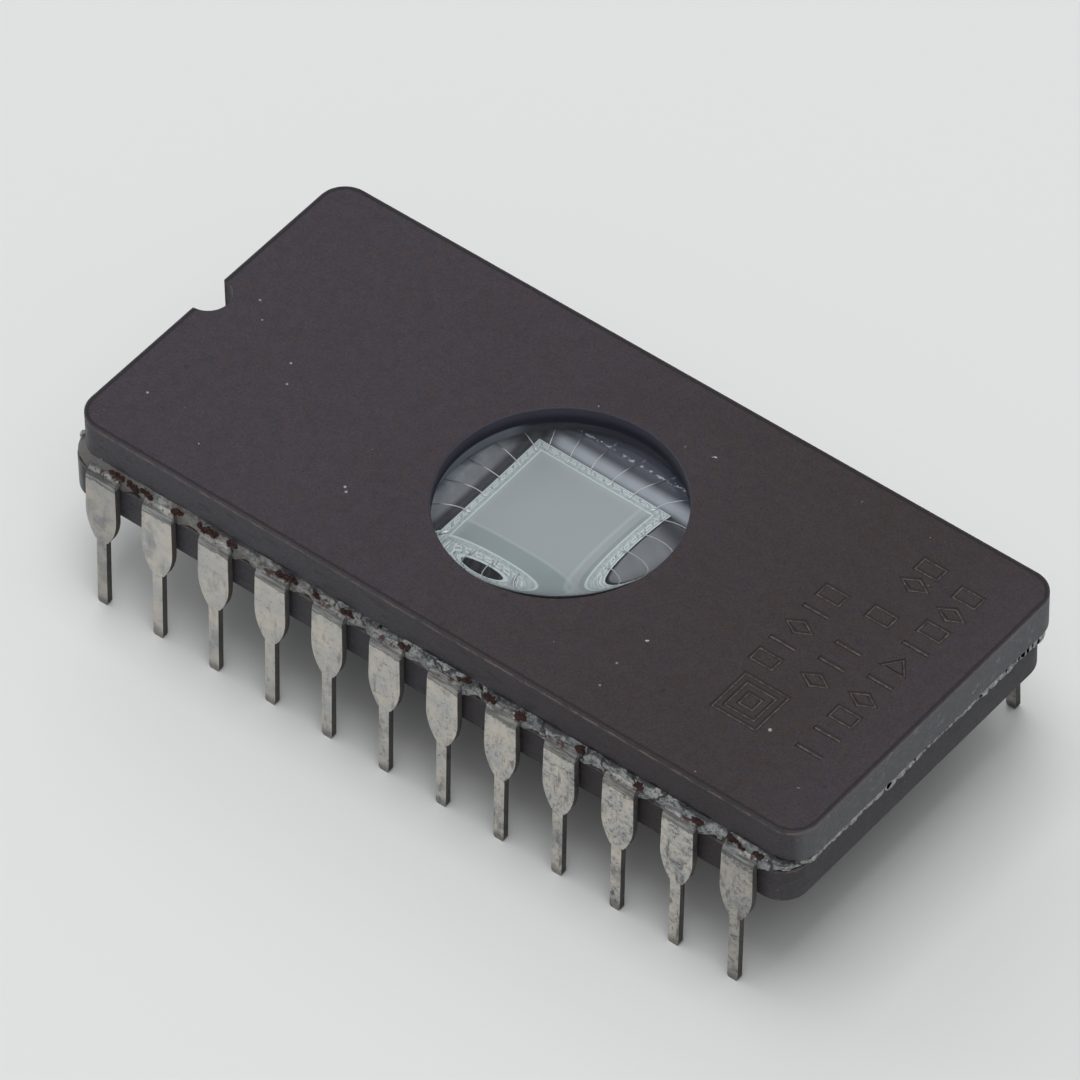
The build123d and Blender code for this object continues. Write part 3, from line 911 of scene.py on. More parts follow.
def with_pads(wiring, colour, place, depth, fine):
    """The die's border: speckled, with three bright lines and a row of hollow square pads."""
    x, y, z = wiring.split(place)
    speckle = wiring.mix(wiring.step(fine, 0.35, 0.65), srgb(150, 160, 164), srgb(176, 185, 189))
    cells = wiring.cells(place, 15.0)
    tone = wiring.split(cells.outputs["Color"])[0]
    dots = wiring.both(wiring.step(tone, 0.3, 0.24), wiring.step(cells.outputs["Distance"], 0.5, 0.35))
    dots = wiring.both(dots, wiring.step(depth, 0.04, 0.06), wiring.step(depth, 0.3, 0.2))
    speckle = wiring.cover(speckle, srgb(84, 92, 98), dots, 0.8)
    border = wiring.step(depth, *BORDER_DEPTH)
    colour = wiring.cover(colour, speckle, border)
    inner_line = wiring.band(depth, *INNER_LINE_DEPTH)
    middle_line = wiring.times(wiring.band(depth, *MIDDLE_LINE_DEPTH), 0.6)
    outer_line = wiring.step(wiring.plus(depth, wiring.times(fine, 0.03)), *OUTER_LINE_DEPTH)
    lines = wiring.either(inner_line, middle_line, outer_line)
    colour = wiring.cover(colour, srgb(208, 216, 219), lines, 0.8)
    across = wiring.maths("PINGPONG", wiring.plus(x, y), PAD_PITCH / 2)
    rim = wiring.both(wiring.step(across, 0.06, 0.07), wiring.band(depth, 0.07, 0.08, 0.18, 0.19))
    hollow = wiring.both(wiring.step(across, 0.09, 0.1), wiring.band(depth, 0.1, 0.11, 0.15, 0.16))
    colour = wiring.cover(colour, srgb(216, 222, 225), wiring.minus(rim, hollow), 0.85)
    return colour, border


def with_die_sides(wiring, colour, place, fine):
    """The sawn sides of the die: painted shade, with painted light where they face +X and a mottled, lighter
    painted shade where they face -Y.
    """
    x, y, z = wiring.split(place)
    normal = wiring.facing()
    low_part = wiring.step(z, DIE_HIGH.z - 0.035, DIE_HIGH.z - 0.07)
    right_tone = wiring.mix(wiring.step(y, 1.6, 2.5), srgb(152, 153, 159), srgb(104, 105, 112))
    facing_right = wiring.both(wiring.step(normal[0], 0.3, 0.8), low_part)
    side = wiring.mix(facing_right, srgb(48, 50, 54), right_tone)
    front_tone = wiring.mix(wiring.step(fine, 0.4, 0.6), srgb(70, 74, 80), srgb(112, 117, 122))
    side = wiring.cover(side, front_tone, wiring.step(normal[1], -0.3, -0.8))
    return wiring.cover(colour, side, wiring.step(normal[2], 0.8, 0.3))


def die_material():
    """The die's printed fields: plain middle, two guide lines, speckled pad border, with painted light near
    its far and left edges.
    """
    tint = colours()
    material, wiring, shader, place = new_material("Silicon die")
    x, y, z = wiring.split(place)
    depth = wiring.effect(
        effect_group("Inside outline"),
        Place=place,
        Centre=(DIE_MIDDLE.x, DIE_MIDDLE.y, 0.0),
        Half=(*(DIE_HIGH - DIE_MIDDLE).xy, 0.0),
        Corner=0.01,
    )["Depth"]
    from_near = wiring.minus(y, DIE_LOW.y)
    from_far = wiring.minus(DIE_HIGH.y, y)
    from_left = wiring.minus(x, DIE_LOW.x)
    from_right = wiring.minus(DIE_HIGH.x, x)
    middle = wiring.both(wiring.step(from_near, *NEAR_FIELD), wiring.step(from_right, *RIGHT_FIELD))
    colour = wiring.mix(middle, tint.silicon_dark, tint.silicon)
    colour = wiring.cover(colour, tint.silicon_pale, wiring.band(from_near, *NEAR_GUIDE_LINE), 0.4)
    colour = wiring.cover(colour, tint.silicon_pale, wiring.band(from_right, *RIGHT_GUIDE_LINE), 0.45)
    # Painted light near the far and left edges.
    glow = wiring.either(wiring.step(from_far, *FAR_GLOW), wiring.step(from_left, *LEFT_GLOW))
    colour = wiring.cover(colour, tint.silicon_pale, glow, 0.3)
    fine = wiring.noise(place, 9.0, 3.0, 0.8)
    colour, border = with_pads(wiring, colour, place, depth, fine)
    colour = with_die_sides(wiring, colour, place, fine)
    wiring.put(shader.inputs["Base Color"], colour)
    wiring.put(shader.inputs["Roughness"], wiring.between(border, 0.3, 0.5))
    shader.inputs["Specular IOR Level"].default_value = 0.6
    bump(wiring, shader, wiring.both(border, fine), 0.01)
    return material


def attach_material():
    """Dull metal-filled bond under the die."""
    material, wiring, shader, place = new_material("Die attach")
    grain = wiring.noise(place, 7.0, 4.0, 0.7)
    wiring.put(shader.inputs["Base Color"], wiring.mix(grain, srgb(56, 52, 46), srgb(118, 112, 100)))
    wiring.put(shader.inputs["Roughness"], wiring.between(grain, 0.35, 0.6))
    shader.inputs["Metallic"].default_value = 0.7
    bump(wiring, shader, grain, 0.02)
    return material


def lead_stains(wiring, place, clouds, grain):
    """Where the tin is stained: specks, streaks down the leg and blots, all stronger towards +X."""
    x, y, z = wiring.split(place)
    along = wiring.step(x, *STAINED_RUN)
    streaks = wiring.noise(wiring.vector("MULTIPLY", place, (3.2, 3.2, 0.8)), 1.0, 4.0, 0.7)
    specks = wiring.step(wiring.minus(wiring.between(along, 0.37, 0.46), grain), -0.06, 0.1)
    speck_strength = wiring.plus(0.35, wiring.times(wiring.step(clouds, 0.35, 0.6), 0.65))
    streak_strength = wiring.plus(0.25, wiring.times(along, 0.6))
    streak = wiring.both(wiring.step(streaks, 0.53, 0.68), wiring.step(z, *STREAK_LEVELS), streak_strength)
    blot_place = wiring.vector("ADD", place, (2.1, 5.3, 8.7))
    blots = wiring.step(wiring.noise(blot_place, 1.5, 5.0, 0.75), 0.58, 0.66)
    blots = wiring.both(blots, wiring.plus(0.15, wiring.times(along, 0.75)))
    return wiring.either(wiring.both(specks, speck_strength), streak, blots)


def lead_material():
    """Dull tin over iron: specks and streaks below, a shinier bend with a painted reflection, painted shade
    on the sheared sides, rust at the seal.
    """
    tint = colours()
    material, wiring, shader, place = new_material("Tinned lead")
    x, y, z = wiring.split(place)
    normal = wiring.facing()
    clouds = wiring.noise(place, 0.9, 4.0, 0.65)
    grain = wiring.noise(place, 5.0, 6.0, 0.8)
    smudges = wiring.noise(wiring.vector("ADD", place, (7.3, 1.9, 4.1)), 1.1, 4.0, 0.65)
    colour = wiring.mix(wiring.step(clouds, 0.35, 0.65), tint.tin, srgb(194, 194, 193))
    colour = wiring.cover(colour, tint.tin_dull, wiring.step(smudges, 0.5, 0.68), 0.6)
    stained = lead_stains(wiring, place, clouds, grain)
    colour = wiring.cover(colour, tint.stain, stained, 0.85)
    outermost = wiring.either(wiring.step(x, *FIRST_LEAD), wiring.step(x, *LAST_LEAD))
    colour = wiring.cover(colour, srgb(96, 94, 92), outermost, 0.28)
    # Painted shade on the sheared sides of the leads.
    side = wiring.step(wiring.size_of(normal[0]), 0.55, 0.8)
    colour = wiring.cover(colour, srgb(46, 44, 43), side, 0.88)
    colour = wiring.cover(colour, tint.stain, wiring.step(z, *TIP_LEVELS), 0.55)
    wavy = wiring.plus(z, wiring.times(wiring.noise(place, 2.4, 3.0, 0.7), 0.3))
    # A painted reflection above the bend: darker, with lighter streaks along it.
    bend = wiring.step(wavy, *BEND_LEVELS)
    highlight_streaks = wiring.noise(wiring.vector("MULTIPLY", place, (0.9, 7.0, 7.0)), 1.0, 3.0, 0.7)
    band = wiring.mix(wiring.step(highlight_streaks, 0.4, 0.62), srgb(92, 93, 95), srgb(160, 161, 160))
    colour = wiring.cover(colour, band, bend, 0.85)
    colour = wiring.cover(colour, tint.stain, wiring.band(wavy, *CREASE_LEVELS), 0.6)
    rust_patches = wiring.step(wiring.noise(place, 2.1, 4.0, 0.7), 0.5, 0.6)
    rusty = wiring.both(wiring.step(z, *RUST_LEVELS), rust_patches)
    colour = wiring.cover(colour, tint.rust, rusty, 0.9)
    # Inside the seal the leads take the inner glass's colour, with its painted light and shade.
    inside = wiring.step(wiring.size_of(y), *LEAD_INSIDE)
    colour = wiring.cover(colour, inner_glass_colour(wiring, place), inside)
    at_tip = wiring.step(wiring.farther(x, y), *FINGER_TIPS)
    flecks = wiring.step(wiring.noise(place, 14.0, 3.0, 0.8), 0.6, 0.64)
    colour = wiring.cover(colour, srgb(190, 194, 200), wiring.both(at_tip, flecks), 0.6)
    wiring.put(shader.inputs["Base Color"], colour)
    dirt_and_shade = wiring.either(stained, side, rusty, inside)
    wiring.put(shader.inputs["Metallic"], wiring.between(dirt_and_shade, 0.85, 0.2))
    rough = wiring.plus(wiring.between(bend, 0.5, 0.3), wiring.times(dirt_and_shade, 0.25))
    wiring.put(shader.inputs["Roughness"], rough)
    bump(wiring, shader, wiring.plus(wiring.times(clouds, 2.0), wiring.times(grain, 0.4)), 0.11)
    return material


def crumbly_material(name, scale, tones, patch, roughness, relief):
    """A rough crust in two tones, mixed in patches of its grain."""
    material, wiring, shader, place = new_material(name)
    grain = wiring.noise(place, scale, 4.0, 0.75)
    wiring.put(shader.inputs["Base Color"], wiring.mix(wiring.step(grain, *patch), *tones))
    shader.inputs["Roughness"].default_value = roughness
    bump(wiring, shader, grain, relief)
    return material


def rust_material():
    """Dark red rust with nearly black spots."""
    return crumbly_material("Rust", 7.0, (colours().rust, srgb(26, 18, 17)), (0.4, 0.65), 0.85, 0.06)


def crust_material():
    """Pale, dusty crumbs of sealing glass."""
    tones = (srgb(112, 112, 112), colours().seal_pale)
    return crumbly_material("Pale crust", 6.0, tones, (0.4, 0.6), 0.7, 0.05)


def wire_material():
    """Bright drawn wire, in painted shade where it dips into the cavity beside the die."""
    material, wiring, shader, place = new_material("Bond wire")
    marks = wiring.noise(place, 12.0, 2.0)
    bright = wiring.mix(marks, srgb(206, 209, 213), srgb(240, 242, 244))
    x, y, z = wiring.split(place)
    wire_shade_far = wiring.step(y, *(DIE_HIGH.y + offset for offset in WIRE_SHADE_FAR))
    wire_shade_left = wiring.step(x, *(DIE_LOW.x - offset for offset in WIRE_SHADE_LEFT))
    wire_shade = wiring.either(wire_shade_far, wire_shade_left)
    wiring.put(shader.inputs["Base Color"], wiring.cover(bright, srgb(84, 87, 95), wire_shade, 0.9))
    wiring.put(shader.inputs["Roughness"], wiring.between(marks, 0.25, 0.45))
    shader.inputs["Metallic"].default_value = 0.6
    return material


def floor_material():
    """Pale matte floor with a hardly visible unevenness."""
    material, wiring, shader, place = new_material("Floor")
    clouds = wiring.noise(place, 0.004, 3.0)
    pale = colours().floor
    darker = [shade * UNEVEN_FLOOR for shade in pale]
    wiring.put(shader.inputs["Base Color"], wiring.mix(clouds, pale, darker))
    shader.inputs["Roughness"].default_value = 0.8
    shader.inputs["Specular IOR Level"].default_value = 0.1
    return material


# Modelling helpers


def clamp(value, low, high):
    """The value, kept between low and high."""
    return min(max(value, low), high)


def nothing_selected():
    """Back to object mode with nothing selected."""
    if bpy.context.object and bpy.context.object.mode != "OBJECT":
        bpy.ops.object.mode_set(mode="OBJECT")
    bpy.ops.object.select_all(action="DESELECT")


def select_only(*objects):
    """Selects these objects. The first is the active one."""
    nothing_selected()
    for thing in objects:
        thing.select_set(True)
    bpy.context.view_layer.objects.active = objects[0]


def place_in_mesh(thing):
    """Moves an object's place, turn and scale into its mesh, which leaves it at the origin."""
    select_only(thing)
    bpy.ops.object.transform_apply(location=True, rotation=True, scale=True)


def pick(thing, kind, wanted):
    """In edit mode, selects just the vertices, edges or faces that wanted agrees to."""
    mesh = bmesh.from_edit_mesh(thing.data)
    bpy.ops.mesh.select_mode(type=kind)
    bpy.ops.mesh.select_all(action="DESELECT")
    for part in {"VERT": mesh.verts, "EDGE": mesh.edges, "FACE": mesh.faces}[kind]:
        if wanted(part):
            part.select = True
    mesh.select_flush_mode()
    bmesh.update_edit_mesh(thing.data)


def edge_points(edge):
    """An edge's two ends in millimetres."""
    return [vertex.co / MM for vertex in edge.verts]


def bevel(width, segments):
    """Rounds the selected edges."""
    bpy.ops.mesh.bevel(offset=width * MM, segments=segments, affect="EDGES", clamp_overlap=True)


def block(low, high, corner=0.0, segments=8):
    """A block between two corners, with its upright edges rounded. All in millimetres."""
    nothing_selected()
    middle = (Vector(low) + Vector(high)) / 2 * MM
    size = (Vector(high) - Vector(low)) * MM
    bpy.ops.mesh.primitive_cube_add(size=1, location=middle, scale=size)
    thing = bpy.context.object
    place_in_mesh(thing)
    if corner:
        bpy.ops.object.mode_set(mode="EDIT")
        pick(thing, "EDGE", lambda edge: (edge.verts[0].co - edge.verts[1].co).xy.length < 0.01 * MM)
        bevel(corner, segments)
        bpy.ops.object.mode_set(mode="OBJECT")
    return thing


def drum(x, y, low, high, radius, sides):
    """An upright cylinder between two levels."""
    nothing_selected()
    bpy.ops.mesh.primitive_cylinder_add(
        vertices=sides,
        radius=radius * MM,
        depth=(high - low) * MM,
        location=(x * MM, y * MM, (low + high) / 2 * MM),
    )
    thing = bpy.context.object
    place_in_mesh(thing)
    return thing


def modify(thing, kind, **settings):
    """Adds a modifier and applies it."""
    select_only(thing)
    modifier = thing.modifiers.new(kind.title(), kind)
    for name, value in settings.items():
        setattr(modifier, name, value)
    bpy.ops.object.modifier_apply(modifier=modifier.name)


def cut(thing, *tools):
    """Cuts the tools out of a piece and removes them."""
    for tool in tools:
        modify(thing, "BOOLEAN", operation="DIFFERENCE", object=tool, solver="EXACT")
        bpy.data.objects.remove(tool)


def joined(things):
    """Several objects as one, the first."""
    select_only(*things)
    bpy.ops.object.join()
    return bpy.context.object


def smooth(thing, degrees):
    """Smooth shading, with edges sharper than the angle left sharp."""
    select_only(thing)
    bpy.ops.object.shade_smooth_by_angle(angle=math.radians(degrees))


def done(thing, name, slot, nodes, *materials):
    """Names a finished piece, gives it its materials, hangs it under the root and hides the imported nodes
    that it stands for.
    """
    thing.name = name
    thing.data.name = name
    for material in materials:
        thing.data.materials.append(material)
    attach(thing, "root")
    if nodes:
        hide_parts(*nodes)
    return thing


def merged_copy(node):
    """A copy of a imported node's mesh with its loose triangles merged into plain faces."""
    thing = bpy.data.objects.new(node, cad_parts[node].data.copy())
    thing.data.materials.clear()
    bpy.context.collection.objects.link(thing)
    select_only(thing)
    bpy.ops.object.mode_set(mode="EDIT")
    bpy.ops.mesh.select_all(action="SELECT")
    bpy.ops.mesh.remove_doubles(threshold=0.001 * MM)
    bpy.ops.mesh.dissolve_limited(angle_limit=math.radians(0.5))
    bpy.ops.object.mode_set(mode="OBJECT")
    return thing


def rounded_copy(node, width, degrees=35.0, segments=2):
    """A merged copy with its hard edges rounded."""
    thing = merged_copy(node)
    modify(
        thing,
        "BEVEL",
        width=width * MM,
        segments=segments,
        limit_method="ANGLE",
        angle_limit=math.radians(degrees),
        harden_normals=False,
    )
    smooth(thing, 32)
    modify(thing, "WEIGHTED_NORMAL", weight=60, keep_sharp=True)
    return thing


def lead_x(number):
    """Place of a lead along its row, counted from the notch."""
    return (number - (LEADS_PER_ROW + 1) / 2) * LEAD_PITCH


# Engraved marks, each as a list of (x, y) from its middle, in millimetres
SQUARE = [(-0.46, -0.28), (0.46, -0.28), (0.46, 0.28), (-0.46, 0.28)]
LOZENGE = [(-0.54, 0.0), (0.0, -0.3), (0.54, 0.0), (0.0, 0.3)]
BAR = [(-0.54, 0.0), (0.54, 0.0)]
WEDGE = [(-0.48, -0.3), (0.48, -0.3), (0.0, 0.3)]
# Rows of marks: place along the body, first place across it, pitch, and the marks in turn
MARK_ROWS = [
    (10.35, -1.5, 0.92, [SQUARE, BAR, LOZENGE, BAR, SQUARE]),
    (12.25, -1.25, 0.92, [LOZENGE, BAR, BAR, None, SQUARE, None, LOZENGE, SQUARE]),
    (14.05, -3.9, 0.98, [BAR, BAR, SQUARE, LOZENGE, BAR, WEDGE, BAR, SQUARE, LOZENGE, SQUARE]),
]
# Nested squares, and the level of the strokes' middle above the cap as a share of their radius
NEST_X = 11.13
NEST_Y = -3.35
NEST_HALF_SIDES = (0.92, 0.62, 0.28)
MARK_LEVEL = 0.75


def mark_tool():
    """Round-ended strokes of all the marks in one mesh, half sunk in the top of the cap."""
    size = sizes()
    curve = bpy.data.curves.new("mark_strokes", "CURVE")
    curve.dimensions = "3D"
    curve.bevel_depth = size["mark_stroke"] * MM
    curve.bevel_resolution = 6
    curve.use_fill_caps = True
    level = CAP_HIGH.z + MARK_LEVEL * size["mark_stroke"]

    def stroke(points):
        """One stroke through points, closed where it has more than two."""
        spline = curve.splines.new("POLY")
        spline.points.add(len(points) - 1)
        for point, (x, y) in zip(spline.points, points):
            point.co = (x * MM, y * MM, level * MM, 1.0)
        spline.use_cyclic_u = len(points) > 2

    for row_x, start_y, pitch, signs in MARK_ROWS:
        for index, sign in enumerate(signs):
            if sign:
                stroke([(row_x + x, start_y + index * pitch + y) for x, y in sign])
    for half in NEST_HALF_SIDES:
        corners = ((-half, -half), (half, -half), (half, half), (-half, half))
        stroke([(NEST_X + x, NEST_Y + y) for x, y in corners])
    thing = bpy.data.objects.new("mark_strokes", curve)
    bpy.context.collection.objects.link(thing)
    select_only(thing)
    bpy.ops.object.convert(target="MESH")
    return bpy.context.object


class CHIP_OT_cap(bpy.types.Operator):
    """The lid: notch, window hole, recess and engraved marks"""

    bl_idname = "chip.cap"
    bl_label = "Cap"

    def execute(self, context):
        size = sizes()
        end_x = CAP_LOW.x
        below, above = CAP_LOW.z - 1, CAP_HIGH.z + 1
        cap = block(CAP_LOW, CAP_HIGH, size["corner_radius"], CAP_CORNER_FACES)
        cut(cap, drum(end_x, size["notch_y"], below, above, size["notch_radius"], NOTCH_SIDES))
        select_only(cap)
        bpy.ops.object.mode_set(mode="EDIT")

        def at_lip(edge):
            """Whether an edge is one of the notch's two upright lips."""
            first, second = edge_points(edge)
            across = abs(first.y - size["notch_y"])
            upright = (first - second).xy.length < CLOSE
            return upright and first.x < end_x + CLOSE and abs(across - size["notch_radius"]) < NEAR_LIP

        pick(cap, "EDGE", at_lip)
        bevel(size["notch_lip"], 4)
        pick(cap, "EDGE", lambda edge: all(point.z > CAP_HIGH.z - TOUCHING for point in edge_points(edge)))
        bevel(size["cap_edge"], 4)
        pick(cap, "EDGE", lambda edge: all(point.z < CAP_LOW.z + TOUCHING for point in edge_points(edge)))
        bevel(size["cap_edge"] / 2, 2)
        bpy.ops.object.mode_set(mode="OBJECT")
        half = size["recess_half"]
        recess = block(
            (BASE_MIDDLE.x - half, -half, below),
            (BASE_MIDDLE.x + half, half, CAP_LOW.z + size["recess_depth"]),
            RECESS_CORNER,
        )
        radius = WINDOW_HIGH.x - WINDOW_MIDDLE.x
        hole = drum(WINDOW_MIDDLE.x, WINDOW_MIDDLE.y, below, above, radius, HOLE_SIDES)
        cut(cap, recess, hole)
        select_only(cap)
        bpy.ops.object.mode_set(mode="EDIT")
        centre = WINDOW_MIDDLE.xy

        def at_rim(edge):
            """Whether an edge runs round the top of the window's hole."""
            points = edge_points(edge)
            level = all(point.z > CAP_HIGH.z - TOUCHING for point in points)
            return level and all(abs((point.xy - centre).length - radius) < CLOSE for point in points)

        pick(cap, "EDGE", at_rim)
        bevel(size["hole_edge"], 4)
        bpy.ops.object.mode_set(mode="OBJECT")
        ceramic = ceramic_material("Cap ceramic", CAP_MIDDLE, CAP_HIGH, notch_end=0.7, plain_end=1.0)
        engraved = engraved_material()
        tool = mark_tool()
        tool.data.materials.append(ceramic)
        tool.data.materials.append(engraved)
        tool.data.polygons.foreach_set("material_index", [1] * len(tool.data.polygons))
        cap.data.materials.append(ceramic)
        cap.data.materials.append(engraved)
        cut(cap, tool)
        smooth(cap, 30)
        modify(cap, "WEIGHTED_NORMAL", weight=80, keep_sharp=True)
        done(cap, "ceramic_cap", "ceramic", ["cap"])
        return {"FINISHED"}


class CHIP_OT_base(bpy.types.Operator):
    """The lower ceramic plate with the die cavity"""

    bl_idname = "chip.base"
    bl_label = "Base"

    def execute(self, context):
        base = rounded_copy("base", BASE_EDGE, BASE_EDGE_DEGREES, BASE_EDGE_FACES)
        ceramic = ceramic_material("Base ceramic", BASE_MIDDLE, BASE_HIGH, notch_end=0.8, plain_end=0.0)
        done(base, "ceramic_base", "ceramic", ["base"], ceramic)
        return {"FINISHED"}


def rim_depth(point, corner):
    """How far a point lies outside the body's outline in millimetres, and the way out from it."""
    share = (point.z - GLASS_LOW.z) / (GLASS_HIGH.z - GLASS_LOW.z)
    middle_x = BASE_MIDDLE.x + share * (CAP_MIDDLE.x - BASE_MIDDLE.x)
    half = Vector((BASE_HIGH.x - BASE_MIDDLE.x, WALL_Y))
    offset = Vector((point.x - middle_x, point.y))
    beyond = Vector((max(abs(offset.x) - half.x + corner, 0), max(abs(offset.y) - half.y + corner, 0)))
    deep = max(abs(offset.x) - half.x, abs(offset.y) - half.y)
    if beyond.length > 0:
        deep = max(deep, beyond.length - corner)
    if beyond.x > 0 and beyond.y > 0:
        out = Vector((math.copysign(beyond.x, offset.x), math.copysign(beyond.y, offset.y), 0)).normalized()
    elif abs(offset.x) - half.x > abs(offset.y) - half.y:
        out = Vector((math.copysign(1, offset.x), 0, 0))
    else:
        out = Vector((0, math.copysign(1, offset.y), 0))
    return deep, out, share


def bead_shift(point, size):
    """How far a point of the sealing glass's rim moves, as sculpted crust. All in millimetres."""
    deep, out, share = rim_depth(point, size["corner_radius"])
    weight = clamp((deep + LOOSE_DEPTH) / LOOSE_FADE, 0, 1)
    if weight <= 0:
        return Vector((0, 0, 0))
    rough = clamp((point.x - CALM_END_X) / CALM_RUN, CALMEST, 1)
    lumps = noise.fractal(point * LUMPS_PER_MM, 0.8, 2.0, 3) * rough
    crust = noise.fractal(point * GRAINS_PER_MM, 0.6, 2.1, 4) * rough
    amount = size["bead_lumps"] * (MEAN_LUMP + lumps) + size["bead_grain"] * crust
    hang = HANG_OF_LUMPS * crust
    if abs(out.y) > 0.7:
        nearest = min(abs(point.x - lead_x(number)) for number in range(1, LEADS_PER_ROW + 1))
        beside = clamp((nearest - LEAD_HALF_WIDTH) / BESIDE_LEAD_RUN, 0, 1)
        amount += SWELL_AT_LEAD * (1 - beside) + SWELL_WHERE_ROUGH * rough
        hang = HANG_AT_LEAD * (1 - beside) ** 1.5 + HANG_OF_LUMPS * lumps + HANG_OF_GRAIN * crust
    shift = out * amount * weight
    shift.z -= max(hang, LEAST_HANG) * weight * (1 - share)
    if deep > INSIDE_DEPTH:
        shift.z += (RISE_OF_TOP + RISE_OF_LUMPS * lumps + HANG_OF_LUMPS * crust) * weight * share
    return shift


class CHIP_OT_seal_glass(bpy.types.Operator):
    """The fused sealing glass with its crusty rim"""

    bl_idname = "chip.seal_glass"
    bl_label = "Sealing glass"

    def execute(self, context):
        size = sizes()
        glass = seal_material()
        inset = Vector((size["bead_width"], size["bead_width"], 0))
        overlap = Vector((BEAD_OVERLAP, BEAD_OVERLAP, 0))
        above = Vector((0, 0, 1))
        low = Vector((CAP_LOW.x, BASE_LOW.y, GLASS_LOW.z))
        high = Vector((BASE_HIGH.x, BASE_HIGH.y, GLASS_HIGH.z))
        inner = merged_copy("seal_glass")
        keep = block(low + inset - overlap - above, high - inset + overlap + above)
        modify(inner, "BOOLEAN", operation="INTERSECT", object=keep, solver="EXACT")
        bpy.data.objects.remove(keep)
        smooth(inner, 30)
        done(inner, "sealing_glass_inner", "sealing_glass", ["seal_glass"], glass)
        bead = merged_copy("seal_glass")
        cut(bead, block(low + inset - above, high - inset + above))
        bead.scale = (1 / MM, 1 / MM, 1 / MM)
        place_in_mesh(bead)
        modify(bead, "REMESH", mode="VOXEL", voxel_size=size["bead_mesh"], use_smooth_shade=True)
        for vertex in bead.data.vertices:
            vertex.co += bead_shift(vertex.co, size)
            vertex.co.x = clamp(vertex.co.x, BASE_LOW.x + BEAD_PLAY, CAP_HIGH.x - BEAD_PLAY)
        bead.scale = (MM, MM, MM)
        place_in_mesh(bead)
        smooth(bead, 50)
        done(bead, "sealing_glass_bead", "sealing_glass", ["seal_glass"], glass)
        return {"FINISHED"}


def sloping_ring(middle, low_half, high_half, low_level, high_level, rings, rise):
    """A thin sloping wall round a rectangle with rounded corners.

    rise gives the share of the height that the wall has climbed at a share of its way out.
    """
    nothing_selected()
    bpy.ops.mesh.primitive_plane_add(size=2 * MM, location=(middle.x * MM, middle.y * MM, low_level * MM))
    wall = bpy.context.object
    wall.scale = (low_half[0], low_half[1], 1)
    place_in_mesh(wall)
    bpy.ops.object.mode_set(mode="EDIT")
    bpy.ops.mesh.select_all(action="SELECT")
    bpy.ops.mesh.bevel(offset=RING_CORNER * MM, segments=RING_CORNER_FACES, affect="VERTICES")
    bpy.ops.mesh.select_all(action="SELECT")
    bpy.ops.mesh.select_mode(type="EDGE")
    bpy.ops.mesh.delete(type="ONLY_FACE")
    bpy.ops.mesh.select_all(action="SELECT")
    before = 0.0
    half = Vector(low_half)
    widening = (Vector(high_half) - half) / rings
    for ring in range(1, rings + 1):
        now = rise(ring / rings)
        climb = (now - before) * (high_level - low_level)
        bpy.ops.mesh.extrude_region_move(TRANSFORM_OT_translate={"value": (0, 0, climb * MM)})
        wider = half + widening
        bpy.ops.transform.resize(
            value=(wider.x / half.x, wider.y / half.y, 1),
            center_override=(middle.x * MM, middle.y * MM, 0),
        )
        before = now
        half = wider
    bpy.ops.mesh.select_all(action="SELECT")
    bpy.ops.mesh.normals_make_consistent(inside=False)
    bpy.ops.object.mode_set(mode="OBJECT")
    if sum(face.normal.z for face in wall.data.polygons) < 0:
        wall.data.flip_normals()
    modify(wall, "SOLIDIFY", thickness=RING_THICKNESS * MM, offset=-1)
    smooth(wall, 60)
    return wall


def trough_rise(share):
    """Steep over the first part of the way, nearly level after it."""
    climb = min(share / STEEP_SHARE, 1)
    return STEEP_RISE * climb * climb * (3 - 2 * climb) + (1 - STEEP_RISE) * share


def bond_rise(share):
    """Hollow slope: flat at the foot, steep at the die."""
    return share**BOND_POWER


class CHIP_OT_cavity_glass(bpy.types.Operator):
    """Glass that has flowed down the wall of the die cavity, and the bond's rim round the die"""

    bl_idname = "chip.cavity_glass"
    bl_label = "Cavity glass"

    def execute(self, context):
        middle = Vector((BASE_MIDDLE.x, 0.0, 0.0))
        floor_level = BASE_HIGH.z - CAVITY_FLOOR_DROP
        trough = sloping_ring(
            middle, TROUGH_FOOT, TROUGH_TOP, floor_level, TROUGH_TOP_LEVEL, TROUGH_RINGS, trough_rise
        )
        done(trough, "cavity_glass", "sealing_glass", [], trough_material())
        half = (DIE_HIGH - DIE_MIDDLE).xy
        foot = (half.x + BOND_SPREAD[0], half.y + BOND_SPREAD[1])
        head = (half.x + BOND_PLAY, half.y + BOND_PLAY)
        rim = sloping_ring(
            DIE_MIDDLE, foot, head, floor_level, DIE_HIGH.z - BOND_DROP, BOND_RINGS, bond_rise
        )
        done(rim, "die_bond_rim", "die_attach", [], rim_material())
        return {"FINISHED"}


